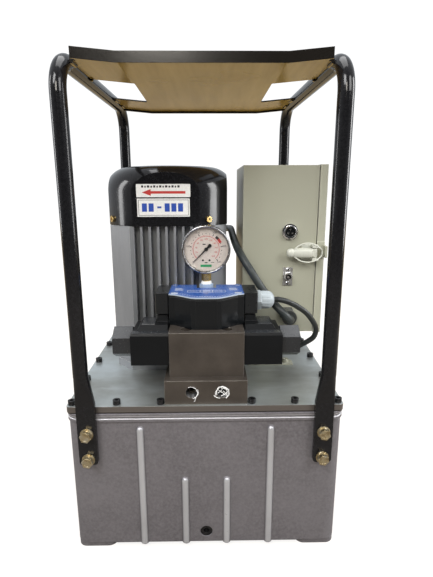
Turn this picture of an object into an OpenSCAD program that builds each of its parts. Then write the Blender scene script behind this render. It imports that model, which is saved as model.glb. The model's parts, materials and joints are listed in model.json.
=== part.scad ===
// Portable hydraulic power unit: electric motor, submerged gear pump, solenoid valve
// block and control box on a cast reservoir, inside a tube carrying frame.
// Millimetres. +Z up. Origin at the bottom centre of the reservoir's feet.
// The front (pressure ports, gauge) faces -Y.

/* [Select] */

/* [Overall] */
plate_w = 360;        // cover plate width
plate_d = 312;        // cover plate depth
plate_t = 8;          // cover plate thickness
gasket_t = 1.5;       // gasket under the cover plate
plate_z = 213;        // top face of the cover plate above the floor

/* [Reservoir] */
rim_over = 2.5;       // rim beyond the cover plate
wall_in = 2;          // wall set back from the rim
wall_t = 5;
tank_floor = -201;    // inner floor, from the plate's top face
rib_r = 5.5;

/* [Frame] */
tube_r = 9.25;
tube_in = 7.25;
bend_r = 38;
leg_front = 154.5;    // half distance between the front legs
leg_rear = 145.5;     // half distance between the rear legs
leg_out = 8.5;        // legs stand this far outside the plate edge
tube_top = 411;       // centre line of the top run above the plate
strap_t = 6;
shelf_z = 403.7;      // underside of the shelf sheet at its middle

/* [Motor] */
motor_x = -54.7;
motor_y = 200;
motor_half = 87;
motor_cut = 34;       // corner chamfer
motor_top = 234;      // top of the finned housing
cowl_z0 = 221;        // lower edge of the fan cowl
cowl_r = 100.4;       // round of the fan cowl between its four flats
fin_pitch = 12;

/* [Valve] */
valve_c = 2;          // middle of the valve along X
spool_y = 50;
spool_z = 71;
spool_r = 8.98;

/* [Gauge] */
gauge_x = 2;
gauge_y = 84;         // front of the gauge glass
gauge_z = 191;
gauge_r = 34;

/* [Control box] */
box_x0 = 57;
box_x1 = 168;
box_y0 = 140;
box_y1 = 290;
box_z0 = 53;
box_z1 = 306;

/* [Pump] */
teeth = 14;
gear_m = 2.5;
gear_z0 = -112;       // bottom of the gears
gear_h = 26;

/* [Hidden] */
$fn = 64;
eps = 0.01;

// ---------------------------------------------------------------- helpers

// Everything is drawn from the middle of the cover plate's front top edge.
module place() { translate([0, -plate_d / 2, plate_z]) children(); }

module cyl_x(r, x0, x1, y, z) { translate([x0, y, z]) rotate([0, 90, 0]) cylinder(r = r, h = x1 - x0); }
module cyl_y(r, y0, y1, x, z) { translate([x, y0, z]) rotate([-90, 0, 0]) cylinder(r = r, h = y1 - y0); }
module cyl_z(r, z0, z1, x, y) { translate([x, y, z0]) cylinder(r = r, h = z1 - z0); }
module box(x0, x1, y0, y1, z0, z1) { translate([x0, y0, z0]) cube([x1 - x0, y1 - y0, z1 - z0]); }

// plan rectangle with round corners
module rrect(x0, x1, y0, y1, r) {
  union() {
    translate([x0 + r, y0]) square([x1 - x0 - 2 * r, y1 - y0]);
    translate([x0, y0 + r]) square([x1 - x0, y1 - y0 - 2 * r]);
    for (x = [x0 + r, x1 - r]) for (y = [y0 + r, y1 - r]) translate([x, y]) circle(r = r);
  }
}
module slab(x0, x1, y0, y1, z0, z1, r) { translate([0, 0, z0]) linear_extrude(height = z1 - z0) rrect(x0, x1, y0, y1, r); }

module cham_square(h, c) {
  polygon([[-h, -h + c], [-h + c, -h], [h - c, -h], [h, -h + c], [h, h - c], [h - c, h], [-h + c, h], [-h, h - c]]);
}
module hex_z(af, z0, z1, x, y) { translate([x, y, z0]) cylinder(r = af / sqrt(3), h = z1 - z0, $fn = 6); }

// socket head screw, head on top at z, pointing down
module socket_screw(x, y, z, r, len, hr, hh, af) {
  difference() {
    union() {
      cyl_z(hr, z, z + hh, x, y);
      cyl_z(r, z - len, z + eps, x, y);
    }
    hex_z(af, z + hh * 0.45, z + hh + 1, x, y);
  }
}

front_x = [-173.6, -115.7, -58.6, 60.7, 117, 173.6];
rear_x = [-173.6, -115.7, -57.9, 0, 57.9, 115.7, 173.6];
side_y = [[82, 152, 228], [88, 165, 236]];   // left, right
function screw_xy() = concat([for (x = front_x) [x, 8]], [for (x = rear_x) [x, plate_d - 8]],
  [for (k = [0, 1]) for (y = side_y[k]) [(2 * k - 1) * 173.6, y]]);

flange_xy = [for (a = [45, 135, 225, 315]) [motor_x + 80 * cos(a), motor_y + 80 * sin(a)]];
block_xy = [[-44, 30], [46, 30], [-44, 100], [46, 100]];
pump_xy = [for (a = [0, 90, 180, 270]) [motor_x + 56 * cos(a + 45), motor_y + 56 * sin(a + 45)]];
valve_xy = [[-25, 33], [29, 33], [-25, 70], [29, 70]];
foot_xy = [[127, 138], [127, 286]];

// ---------------------------------------------------------------- reservoir

bolt_front = 152.5;
bolt_rear = 143.5;
bolt_z = [-34, -70.4];

module rib(x, top) {
  for (y = [wall_in - rim_over + 1.5, plate_d - wall_in + rim_over - 1.5]) {
    cyl_z(rib_r, -206.5, top, x, y);
    translate([x, y, top]) sphere(r = rib_r);
  }
}

module reservoir() color("silver") place() difference() {
  union() {
    slab(-180.5, 180.5, -0.5, plate_d + 0.5, -206.5, -9.5, 18);
    slab(-182.5, 182.5, -2.5, plate_d + 2.5, -13, -9.5, 20);
    slab(-182.2, 182.2, -2.2, plate_d + 2.2, -21, -16.5, 20);
    slab(-181.3, 181.3, -1.3, plate_d + 1.3, -16.6, -12.9, 19);
    for (x = [-85.5, 85.5]) rib(x, -33);
    for (x = [-28, 28]) rib(x, -109);
    for (s = [-1, 1]) for (y = [75, 237]) {
      cyl_z(rib_r, -206.5, -33, s * 177, y);
      translate([s * 177, y, -33]) sphere(r = rib_r);
    }
    for (s = [-1, 1]) for (y = [129, 183]) {
      cyl_z(rib_r, -206.5, -109, s * 177, y);
      translate([s * 177, y, -109]) sphere(r = rib_r);
    }
    for (x0 = [-179, 125]) for (y0 = [1, plate_d - 55]) slab(x0, x0 + 54, y0, y0 + 54, -213, -206.4, 12);
    for (s = [-1, 1]) {
      box(s * bolt_front - 11, s * bolt_front + 11, -2.5, 0, -80, -20.9);
      box(s * bolt_rear - 11, s * bolt_rear + 11, plate_d, plate_d + 2.5, -80, -20.9);
    }
  }
  difference() {
    union() {
      slab(-175.5, 175.5, 4.5, plate_d - 4.5, tank_floor, -27, 13);
      slab(-163, 163, 22, plate_d - 22, -28, -9, 12);
    }
    for (s = [-1, 1]) {
      box(s * bolt_front - 14, s * bolt_front + 14, 4, 14, -84, -26);
      box(s * bolt_rear - 14, s * bolt_rear + 14, plate_d - 14, plate_d - 4, -84, -26);
    }
    cyl_y(15, 4, 16, 0, -190);
  }
  for (p = screw_xy()) cyl_z(3.02, -24, -9, p[0], p[1]);
  for (s = [-1, 1]) for (z = bolt_z) {
    cyl_y(4.02, -3, 11, s * bolt_front, z);
    cyl_y(4.02, plate_d - 11, plate_d + 3, s * bolt_rear, z);
  }
  cyl_y(8.35, -3, 17, 0, -190);
}

module drain_plug() color("dimgray") place() difference() {
  cyl_y(8.33, 0.8, 15, 0, -190);
  translate([0, 0, -190]) rotate([-90, 0, 0]) cylinder(r = 8 / sqrt(3), h = 7.5, $fn = 6);
}

module tank_gasket() color("saddlebrown") place() difference() {
  slab(-179.5, 179.5, 0.5, plate_d - 0.5, -9.5, -8, 6);
  slab(-164, 164, 21, plate_d - 21, -10, -7, 12);
  for (p = screw_xy()) cyl_z(3.3, -10, -7, p[0], p[1]);
}

module cover_plate() color("gray") place() difference() {
  slab(-plate_w / 2, plate_w / 2, 0, plate_d, -plate_t, 0, 6);
  for (p = screw_xy()) cyl_z(3.3, -9, 1, p[0], p[1]);
  for (p = concat(flange_xy, block_xy)) cyl_z(4.4, -9, 1, p[0], p[1]);
  for (p = pump_xy) cyl_z(4.02, -9, 1, p[0], p[1]);
  for (p = foot_xy) cyl_z(3.02, -9, 1, p[0], p[1]);
  cyl_z(40, -9, 1, motor_x, motor_y);
  cyl_z(8.3, -9, 1, -37.2, 60);
  cyl_z(8.3, -9, 1, 30, 79);
  cyl_z(10.02, -9, 1, -150, 272);
}

module cover_screws() color("black") place() for (p = screw_xy()) socket_screw(p[0], p[1], 0, 3, 20, 5, 6, 5);

// ---------------------------------------------------------------- carrying frame

toe = atan((leg_front - leg_rear) / (plate_d + 2 * leg_out));
run_l = sqrt(pow(leg_front - leg_rear, 2) + pow(plate_d + 2 * leg_out, 2));

// the U of one side, in its own plane from the front leg
module u_path(r, leg0) {
  h = tube_top - bend_r;
  cyl_z(r, leg0, h, 0, 0);
  cyl_z(r, leg0, h, 0, run_l);
  cyl_y(r, bend_r, run_l - bend_r, 0, tube_top);
  translate([0, bend_r, h]) rotate([90, 0, -90]) rotate_extrude(angle = 90) translate([bend_r, 0]) circle(r = r);
  translate([0, run_l - bend_r, h]) rotate([90, 0, 90]) rotate_extrude(angle = 90) translate([bend_r, 0]) circle(r = r);
}
module at_leg() { translate([leg_front, -leg_out, 0]) rotate([0, 0, toe]) children(); }

module strap(lx, bx, ly, back) {
  // flattened tube end: round above, flat below
  y0 = back > 0 ? plate_d + 2.5 : -2.5 - strap_t;
  difference() {
    union() {
      hull() {
        translate([lx, ly, 45]) cylinder(r = tube_r - 0.2, h = 3, $fn = 32);
        box(bx - 12, bx + 12, y0, y0 + strap_t, 6, 7);
      }
      translate([0, y0, 0]) box(bx - 12, bx + 12, 0, strap_t, -66, 7);
      translate([0, y0, 0]) {
        box(bx - 8, bx + 8, 0, strap_t, -78, -65);
        for (s = [-1, 1]) cyl_y(4, 0, strap_t, bx + s * 8, -74);
        box(bx - 12, bx + 12, 0, strap_t, -74, -65);
      }
    }
    for (z = bolt_z) cyl_y(4.5, y0 - 1, y0 + strap_t + 1, bx, z);
  }
}

module roll_bar() {
  difference() {
    at_leg() u_path(tube_r, 45.9);
    at_leg() u_path(tube_in, 50);
  }
  strap(leg_front, bolt_front, -leg_out, -1);
  strap(leg_rear, bolt_rear, plate_d + leg_out, 1);
}
module roll_bar_right() color("black") place() roll_bar();
module roll_bar_left() color("black") place() mirror([1, 0, 0]) roll_bar();

// the shelf dips in the middle, its wings rise to the tubes and its lips hang 3 mm below the sheet
module shelf_profile(t) {
  polygon([[-152, 5.8], [-91, 0], [91, 0], [152, 5.8], [152, 5.8 + t], [91, t], [-91, t], [-152, 5.8 + t]]);
}
module top_shelf() color("saddlebrown") place() difference() {
  union() {
    translate([0, 292, shelf_z]) rotate([90, 0, 0]) linear_extrude(height = 307) shelf_profile(2);
    for (y = [-13, 292]) translate([0, y, shelf_z - 3.3]) rotate([90, 0, 0]) linear_extrude(height = 2)
      intersection() {
        shelf_profile(11.5);
        translate([-138, -2]) square([276, 30]);
      }
    for (s = [0, 1]) mirror([s, 0, 0]) for (y = [16, 96, 222, 268])
      at_leg() cyl_y(2.6, y, y + 18, -10.2, shelf_z + 4.5);
  }
  for (s = [0, 1]) mirror([s, 0, 0]) {
    at_leg() {
      cyl_y(tube_r + 0.03, -30, run_l, 0, tube_top);
      box(-tube_r + 2.2, 30, -30, run_l, 380, 430);
    }
    at_leg() translate([0, bend_r, tube_top - bend_r]) rotate([90, 0, -90]) rotate_extrude(angle = 90) translate([bend_r, 0]) circle(r = tube_r + 0.03);
    at_leg() translate([0, run_l - bend_r, tube_top - bend_r]) rotate([90, 0, 90]) rotate_extrude(angle = 90) translate([bend_r, 0]) circle(r = tube_r + 0.03);
    box(138, 160, -20, 8, 380, 430);
    slab(88, 170, 90, 211, 380, 430, 3);
  }
}

module frame_bolt(x, y, s) {
  translate([x, y, 0]) rotate([0, 0, s > 0 ? 180 : 0]) {
    difference() {
      union() {
        cyl_y(8.4, -1.6, 0, 0, 0);
        cyl_y(7, -3.4, -1.5, 0, 0);
        translate([0, -8.8, 0]) rotate([-90, 0, 0]) rotate([0, 0, 12]) cylinder(r = 13 / sqrt(3), h = 5.5, $fn = 6);
        cyl_y(4, -4, 18, 0, 0);
      }
      cyl_y(4.4, -9, -8.4, 0, 0);
    }
  }
}
module frame_bolts() color("gold") place() for (z = bolt_z) for (s = [-1, 1]) translate([0, 0, z]) {
  frame_bolt(s * bolt_front, -2.5 - strap_t, -1);
  frame_bolt(s * bolt_rear, plate_d + 2.5 + strap_t, 1);
}

// ---------------------------------------------------------------- valve block

module manifold_block() color("dimgray") place() difference() {
  slab(-53, 54.7, 4.8, 112, 0, 32.5, 1);
  for (x = [-18, 22]) {
    cyl_y(7.5, 4, 19, x, 16.5);
    cyl_y(5, 18, 44, x, 16.5);
    cyl_z(5, 16.5, 33, x, 40);
  }
  cyl_z(6, -1, 12, -37.2, 60);
  cyl_x(5, -37.2, 2, 60, 12);
  cyl_z(5, 12, 33, 2, 60);
  cyl_y(4, 60, 99, 2, 12);
  cyl_z(4, 12, 20, 2, 99);
  cyl_z(8.02, 20, 33, 2, 99);
  cyl_z(6, -1, 33, 30, 79);
  cyl_z(8.02, -1, 8, -37.2, 60);
  cyl_z(8.02, -1, 8, 30, 79);
  for (p = block_xy) cyl_z(4.02, -1, 16, p[0], p[1]);
  for (p = valve_xy) cyl_z(3.02, 22, 33, p[0], p[1]);
}

// M8 screws from under the plate into the block, and into the motor flange
module plate_screws() color("dimgray") place() for (p = concat(block_xy, flange_xy))
  translate([p[0], p[1], -8]) rotate([180, 0, 0]) socket_screw(0, 0, 0, 4, 20, 6.5, 8, 6);

module mirror_valve() { translate([2 * valve_c, 0, 0]) mirror([1, 0, 0]) children(); }
module both_ends() { children(); mirror_valve() children(); }

module valve_body() color("dimgray") place() difference() {
  slab(-47, 51, 16.7, 86.7, 32.5, 93, 2);
  cyl_x(spool_r + 0.02, -48, 52, spool_y, spool_z);
  for (x = [-32, -18, 2, 22, 36]) cyl_x(13, x - 3, x + 3, spool_y, spool_z);
  both_ends() cyl_x(13.02, -48, -39, spool_y, spool_z);
  for (x = [-18, 22]) cyl_z(5, 32, 66, x, 40);
  cyl_z(5, 32, 66, 2, 60);
  cyl_z(4.5, 32, 44, 30, 79);
  cyl_x(4, -32, 36, 79, 44);
  for (x = [-32, 36]) {
    cyl_y(4, 62, 79, x, 44);
    cyl_z(4, 44, 68, x, 62);
  }
  for (p = valve_xy) {
    cyl_z(3.3, 32, 94, p[0], p[1]);
    cyl_z(7.5, 80, 94, p[0], p[1]);
  }
}

module valve_screws() color("black") place() for (p = valve_xy) socket_screw(p[0], p[1], 80, 3, 57.5, 5, 6, 5);

module spool() color("lightgray") place() difference() {
  cyl_x(spool_r, -36, 40, spool_y, spool_z);
  for (x = [-25, -8, 12, 29]) translate([x - 3.5, spool_y, spool_z]) rotate([0, 90, 0]) difference() {
    cylinder(r = 12, h = 7);
    translate([0, 0, -1]) cylinder(r = 6, h = 9);
  }
}

module armatures() color("gray") place() both_ends() {
  cyl_x(10.44, -86, -53, spool_y, spool_z);
  cyl_x(2.5, -53.1, -36, spool_y, spool_z);
}

module spring_l() for (i = [0:3]) translate([-45.4 + i * 2.65, spool_y, spool_z]) rotate([0, 90, 0])
  rotate_extrude() translate([6.2, 0]) circle(r = 1.45, $fn = 24);
module spring_left() color("lightsteelblue") place() spring_l();
module spring_right() color("lightsteelblue") place() mirror_valve() spring_l();

module solenoid_tubes() color("silver") place() both_ends() difference() {
  union() {
    cyl_x(13, -97, -39, spool_y, spool_z);
    cyl_x(10, -116, -96.9, spool_y, spool_z);
  }
  cyl_x(10.5, -90, -49.5, spool_y, spool_z);
  cyl_x(3.2, -50, -46, spool_y, spool_z);
  cyl_x(10, -46.9, -38, spool_y, spool_z);
  cyl_x(2.5, -117, -89, spool_y, spool_z);
}

module coil() difference() {
  union() {
    slab(-97, -47, 20, 80, 48, 91, 1.5);
    slab(-88, -50, 37, 78, 90, 97, 1.5);
    box(-66, -50, 60, 76, 96, 105);
  }
  cyl_x(13.03, -98, -46, spool_y, spool_z);
}
module coil_left() color("black") place() coil();
module coil_right() color("black") place() mirror_valve() coil();

module coil_nuts() color("dimgray") place() both_ends() difference() {
  translate([-122.5, spool_y, spool_z]) rotate([0, 90, 0]) cylinder(r = 37 / sqrt(3), h = 25.5, $fn = 6);
  cyl_x(10.02, -118, -96, spool_y, spool_z);
  cyl_x(6, -124, -117, spool_y, spool_z);
}

// moulded terminal housing on top of the valve, front face waved
module terminal_outline(o) {
  polygon([[-48.7 + o, 90 - o], [-48.7 + o, 53 + o], [-40, 50 + o], [-29, 41 + o], [-18, 32 + o], [-12, 30 + o], [16, 30 + o],
    [22, 32 + o], [33, 41 + o], [44, 50 + o], [52.8 - o, 53 + o], [52.8 - o, 90 - o], [52.8 - o, 110 - o], [16 + o, 110 - o],
    [16 + o, 89 - o], [-12 - o, 89 - o], [-12 - o, 110 - o], [-48.7 + o, 110 - o]]);
}
module terminal_box() color("black") place() difference() {
  translate([0, 0, 93]) linear_extrude(height = 39) terminal_outline(0);
  translate([0, 0, 96.5]) linear_extrude(height = 40) terminal_outline(3);
}
module terminal_cover() color("royalblue") place() {
  translate([0, 0, 132]) linear_extrude(height = 4) terminal_outline(0);
  for (x = [-43, 47]) for (y = [58, 104]) cyl_z(3, 135.9, 137.4, x, y);
}

module end_caps() color("black") place() {
  difference() {
    slab(-67, -48.7, 54, 104, 108, 136.7, 3);
    slab(-64, -48, 57, 101, 111, 133.7, 1);
  }
  difference() {
    slab(52.8, 71.5, 54, 104, 108, 136.7, 3);
    slab(52, 68.5, 57, 101, 111, 133.7, 1);
    cyl_x(9.02, 60, 75, 80, 120.5);
  }
}

module valve_gland() color("gainsboro") place() difference() {
  union() {
    cyl_x(9, 62, 72, 80, 120.5);
    translate([71.5, 80, 120.5]) rotate([0, 90, 0]) cylinder(r = 14.4, h = 7, $fn = 6);
    cyl_x(12.6, 78.4, 92, 80, 120.5);
    cyl_x(9.5, 91.9, 97, 80, 120.5);
  }
  cyl_x(4.3, 55, 98, 80, 120.5);
}

// ---------------------------------------------------------------- cables

function unit(v) = v / norm(v);
function cat_rom(a, b, c, d, t) = 0.5 * (2 * b + (c - a) * t + (2 * a - 5 * b + 4 * c - d) * t * t + (3 * b - a - 3 * c + d) * t * t * t);
function path(p, n) = concat([for (i = [0:len(p) - 2]) for (k = [0:n - 1])
  cat_rom(p[max(i - 1, 0)], p[i], p[i + 1], p[min(i + 2, len(p) - 1)], k / n)], [p[len(p) - 1]]);
function frames(q) = [for (i = [0:len(q) - 1]) unit(q[min(i + 1, len(q) - 1)] - q[max(i - 1, 0)])];

// round cable through the points of q
module sweep(q, r, sides) {
  n = len(q);
  f = frames(q);
  pts = [for (i = [0:n - 1]) let (t = f[i], u = unit(cross(t, [0.31, 0.22, 0.925])), w = cross(t, u))
    for (k = [0:sides - 1]) q[i] + r * (cos(360 * k / sides) * u + sin(360 * k / sides) * w)];
  faces = concat([[for (k = [0:sides - 1]) k]],
    [for (i = [0:n - 2]) for (k = [0:sides - 1]) for (h = [0, 1]) let (a = i * sides + k, b = i * sides + (k + 1) % sides)
      h == 0 ? [a, a + sides, b + sides] : [a, b + sides, b]],
    [[for (k = [0:sides - 1]) n * sides - 1 - k]]);
  polyhedron(points = pts, faces = faces, convexity = 4);
}

valve_run = [
  [60, 80, 120.5], [80, 80, 120.5], [96, 80, 120.5], [105, 80.8, 120], [117, 84.8, 116], [131.7, 90, 108],
  [150.6, 98, 92.8], [166, 110, 69.5], [166.5, 118, 52.5], [159, 124, 42.3], [149.4, 130, 34], [141, 139, 24],
  [135.5, 150, 16.2], [132.5, 161, 12.6], [131.3, 172, 14.6], [131, 180, 22], [131, 183.6, 33], [131, 184, 44],
  [131, 184, 62]
];
motor_run = [
  [-30, 306, 200], [-14, 306, 200], [0, 306, 200], [11, 305.5, 200.2], [22, 302.4, 201], [31.5, 296, 202],
  [38.5, 287, 203], [43, 276, 203.8], [45, 262, 204.4], [45, 235, 203.2], [46, 200, 196], [47.5, 165, 190],
  [51, 138, 181.5], [58, 122, 169.5], [67, 114.2, 155.5], [76, 110.8, 141.5], [84, 107.4, 129.4], [91.8, 103.2, 118.8],
  [99.3, 98.2, 110.8], [106.9, 93, 102.9], [112.6, 91, 97], [118.3, 92.4, 91.1], [123.3, 96.9, 86],
  [126.5, 103.8, 82.6], [127.7, 112, 81.4], [127.7, 120, 81.4], [127.7, 150, 81.4]
];

module valve_cable() color([0.05, 0.05, 0.05]) place() sweep(path(valve_run, 4), 4, 12);
module motor_cable() color([0.08, 0.1, 0.1]) place() sweep(path(motor_run, 3), 5.8, 12);

// ---------------------------------------------------------------- pressure gauge

module gauge_riser() color("gray") place() difference() {
  union() {
    cyl_z(8, 20.5, 34, 2, 99);
    cyl_z(8, 33, 140, 2, 99);
    hex_z(19, 33, 41, 2, 99);
    hex_z(17, 126, 140, 2, 99);
  }
  cyl_z(4, 20, 130, 2, 99);
  cyl_z(6.02, 129, 141, 2, 99);
}

module gauge_body() color("silver") place() difference() {
  union() {
    cyl_y(gauge_r, gauge_y - 2, gauge_y + 7, gauge_x, gauge_z);
    cyl_y(gauge_r - 2, gauge_y + 6.9, gauge_y + 25, gauge_x, gauge_z);
    hex_z(14, 144, gauge_z - 30, 2, 99);
    cyl_z(6, 130, 144.1, 2, 99);
  }
  cyl_y(gauge_r - 3.5, gauge_y - 3, gauge_y + 6, gauge_x, gauge_z);
  cyl_y(gauge_r - 4.5, gauge_y + 5, gauge_y + 23, gauge_x, gauge_z);
  cyl_z(2.5, 129, gauge_z - 20, 2, 99);
}
module gauge_dial() color("white") place() difference() {
  cyl_y(gauge_r - 3.6, gauge_y + 4.8, gauge_y + 6, gauge_x, gauge_z);
  cyl_y(1.55, gauge_y + 4, gauge_y + 7, gauge_x, gauge_z);
}
// pointer at its rest mark, lower left, with its arbor through the dial
module gauge_needle() color("black") place() translate([gauge_x, gauge_y, gauge_z]) rotate([0, -45, 0]) {
  linear_needle();
  translate([0, 2.6, 0]) rotate([-90, 0, 0]) cylinder(r = 2.6, h = 1.6);
  translate([0, 3, 0]) rotate([-90, 0, 0]) cylinder(r = 1.5, h = 7);
}
module linear_needle() {
  translate([0, 3.8, 0]) rotate([90, 0, 0]) linear_extrude(height = 0.8)
    polygon([[-25, 0.25], [-25, -0.25], [-2, -0.9], [2, -1.1], [8, -2.6], [9.5, -1.2], [9.5, 1.2], [8, 2.6], [2, 1.1], [-2, 0.9]]);
}
module gauge_lens() color([0.8, 0.9, 1, 0.3]) place() cyl_y(gauge_r - 3.55, gauge_y, gauge_y + 1.6, gauge_x, gauge_z);

// ---------------------------------------------------------------- electric motor

module at_motor() { translate([motor_x, motor_y, 0]) children(); }

module motor_flange() color("silver") place() at_motor() difference() {
  union() {
    linear_extrude(height = 12) cham_square(84, 25);
    cyl_z(39.9, -6, 0.1, 0, 0);
    cyl_z(65.9, 11.9, 24, 0, 0);
  }
  cyl_z(26.02, 9, 25, 0, 0);
  cyl_z(14, -7, 10, 0, 0);
  for (a = [45, 135, 225, 315]) cyl_z(4.02, -1, 13.5, 80 * cos(a), 80 * sin(a));
}

module fin_profile() difference() {
  cham_square(motor_half, motor_cut);
  circle(r = 66);
  for (a = [0, 90, 180, 270]) rotate(a) for (i = [-3.5:1:3.5])
    translate([i * fin_pitch - 4.4, -motor_half - 1]) square([8.8, i * i > 12 ? 17 : 15]);
}
module motor_housing() color("slategray") place() at_motor() difference() {
  union() {
    translate([0, 0, 12]) linear_extrude(height = motor_top - 12) fin_profile();
    translate([0, 0, 12]) linear_extrude(height = 5) difference() { cham_square(motor_half, motor_cut); circle(r = 66); }
  }
  difference() {
    cyl_z(150, cowl_z0 - 0.5, motor_top + 1, 0, 0);
    cyl_z(98.9, cowl_z0 - 1, motor_top + 2, 0, 0);
  }
  for (a = cowl_a) rotate(a) cyl_x(2.02, 84, 108, 0, cowl_z0 + 9);
}

module stator() color("sienna") place() at_motor() {
  difference() {
    cyl_z(65.97, 60, 170, 0, 0);
    cyl_z(40, 59, 171, 0, 0);
  }
  for (z = [36, 169.9]) difference() {
    cyl_z(60, z, z + 24.1, 0, 0);
    cyl_z(43, z - 1, z + 26, 0, 0);
  }
}

module end_shield() color("silver") place() at_motor() difference() {
  union() {
    translate([0, 0, motor_top]) linear_extrude(height = 5) circle(r = 80);
    cyl_z(65.9, motor_top - 16, motor_top + 0.1, 0, 0);
    cyl_z(34, motor_top - 21, motor_top - 15, 0, 0);
  }
  cyl_z(26.02, motor_top - 22, motor_top - 2, 0, 0);
  cyl_z(14, motor_top - 3, motor_top + 6, 0, 0);
}

// round pressed hood with four flats; the round upper edge meets them in arches
module cowl_solid(h, r, top, re, z0) intersection() {
  rotate_extrude() union() {
    translate([0, z0]) square([r, top - re - z0]);
    translate([0, z0]) square([r - re, top - z0]);
    intersection() {
      translate([r - re, top - re]) circle(r = re);
      translate([r - re - 1, top - re - 1]) square(re + 2);
    }
  }
  box(-h, h, -h, h, z0 - 1, top + 1);
}
cowl_a = [36.8, 126.8, 216.8, 306.8];
module fan_cowl() color([0.05, 0.05, 0.06]) place() at_motor() difference() {
  cowl_solid(88.4, cowl_r, 305.5, 37, cowl_z0);
  cowl_solid(87.06, cowl_r - 1.34, 304, 35.7, cowl_z0 - 1);
  for (r = [16, 30, 44, 58]) difference() {
    cyl_z(r + 4, 300, 310, 0, 0);
    cyl_z(r - 4, 299, 311, 0, 0);
    for (a = [0, 60, 120]) rotate(a) box(-80, 80, -3, 3, 298, 312);
  }
  for (a = cowl_a) rotate(a) cyl_x(2.3, 85, 110, 0, cowl_z0 + 9);
}
module cowl_screws() color("gold") place() at_motor() for (a = cowl_a) rotate(a) difference() {
  union() {
    cyl_x(4.6, cowl_r, cowl_r + 3, 0, cowl_z0 + 9);
    cyl_x(2, 86, cowl_r + 0.1, 0, cowl_z0 + 9);
  }
  translate([cowl_r + 1.5, 0, cowl_z0 + 9]) rotate([0, 90, 0]) cylinder(r = 2, h = 3, $fn = 6);
}

module rotor() color("silver") place() at_motor() {
  cyl_z(12.48, -34, 271, 0, 0);
  cyl_z(39.6, 60, 170, 0, 0);
  cyl_z(15, 27, 60.1, 0, 0);
  cyl_z(15, 169.9, 215, 0, 0);
}
module fan() color("dimgray") place() at_motor() difference() {
  union() {
    cyl_z(20, 245, 269, 0, 0);
    cyl_z(70, 245, 248, 0, 0);
    for (a = [0:45:315]) rotate(a) box(15, 74, -1.2, 1.2, 247.5, 275);
  }
  cyl_z(12.49, 244, 271.5, 0, 0);
  cyl_z(20, 269.2, 276, 0, 0);
}
module coupling() color("steelblue") place() at_motor() difference() {
  cyl_z(24, -60, -10, 0, 0);
  cyl_z(12.49, -35, -9, 0, 0);
  cyl_z(8.01, -61, -34.5, 0, 0);
}
module motor_bearings() color("lightgray") place() at_motor() for (z = [11, 216]) difference() {
  cyl_z(26, z, z + 15, 0, 0);
  cyl_z(12.5, z - 1, z + 16, 0, 0);
}

module motor_junction_box() color("dimgray") place() difference() {
  union() {
    slab(-95, -15, 286, 325, 130, 218, 4);
    cyl_x(10.5, -15.1, 0, 306, 200);
  }
  slab(-91, -19, 290, 321, 134, 214, 3);
  cyl_x(6.1, -20, 1, 306, 200);
  translate([motor_x, motor_y, 120]) linear_extrude(height = 110) square(2 * motor_half, center = true);
}

// ---------------------------------------------------------------- control box

module control_box() color("beige") place() difference() {
  union() {
    box(box_x0, box_x1, box_y0, box_y1, box_z0, box_z1);
    for (z = [85, 255]) cyl_z(2.9, z, z + 10, 177.5, box_y1 + 4);
    for (z = [85, 255]) {
      box(158, 168, box_y1 - 0.1, box_y1 + 3.6, z, z + 10);
      box(167.9, 177.5, box_y1 + 1.6, box_y1 + 3.6, z, z + 10);
    }
    for (z = [85, 255]) cyl_z(1.9, z + 5, z + 28, 177.5, box_y1 + 4);
  }
  difference() {
    box(box_x0 + 1.5, box_x1 + 1, box_y0 + 1.5, box_y1 - 1.5, box_z0 + 1.5, box_z1 - 1.5);
    box(box_x1 - 1.5, box_x1 + 2, box_y0, box_y0 + 12, box_z0, box_z1);
    box(box_x1 - 1.5, box_x1 + 2, box_y1 - 12, box_y1, box_z0, box_z1);
  }
  cyl_y(8.02, box_y0 - 1, box_y0 + 2, 127.3, 210);
  cyl_y(6.02, box_y0 - 1, box_y0 + 2, 126.3, 142);
  cyl_y(9.02, box_y0 - 1, box_y0 + 2, 127.7, 81.4);
  cyl_z(7.02, box_z0 - 1, box_z0 + 2, 131, 184);
}

module box_door() color("beige") place() difference() {
  union() {
    difference() {
      box(169, 180.5, box_y0 - 1, box_y1 + 1, box_z0 - 1, box_z1 + 1);
      box(168, 179, box_y0 + 0.5, box_y1 - 0.5, box_z0 + 0.5, box_z1 - 0.5);
    }
    for (z = [95.2, 265.2]) {
      cyl_z(2.9, z, z + 14, 177.5, box_y1 + 4);
      box(174, 179, box_y1 + 0.5, box_y1 + 4, z, z + 14);
    }
    box(168.5, 180.5, box_y0 - 2.4, box_y0 - 0.9, 170, 195);
    box(177.4, 180.5, box_y0 - 19, box_y0 - 2.3, 173, 190);
  }
  for (z = [95, 265]) cyl_z(1.95, z, z + 15, 177.5, box_y1 + 4);
}

module bracket(y0, s) {
  difference() {
    union() {
      box(66, 138, y0, y0 + 16, 0, 3);
      box(66, 110, s > 0 ? y0 + 13 : y0, s > 0 ? y0 + 16 : y0 + 3, 0, box_z0);
      box(66, 110, s > 0 ? y0 + 13 : y0 - 19, s > 0 ? y0 + 35 : y0 + 3, box_z0 - 3, box_z0);
    }
    cyl_z(3.3, -1, 4, 127, y0 + 8);
  }
}
module box_brackets() color("beige") place() {
  bracket(130, 1);
  bracket(278, -1);
  for (p = foot_xy) difference() {
    union() {
      cyl_z(5, 3, 8, p[0], p[1]);
      cyl_z(3, -8, 3.1, p[0], p[1]);
    }
    hex_z(4, 5.5, 9, p[0], p[1]);
  }
}

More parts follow.
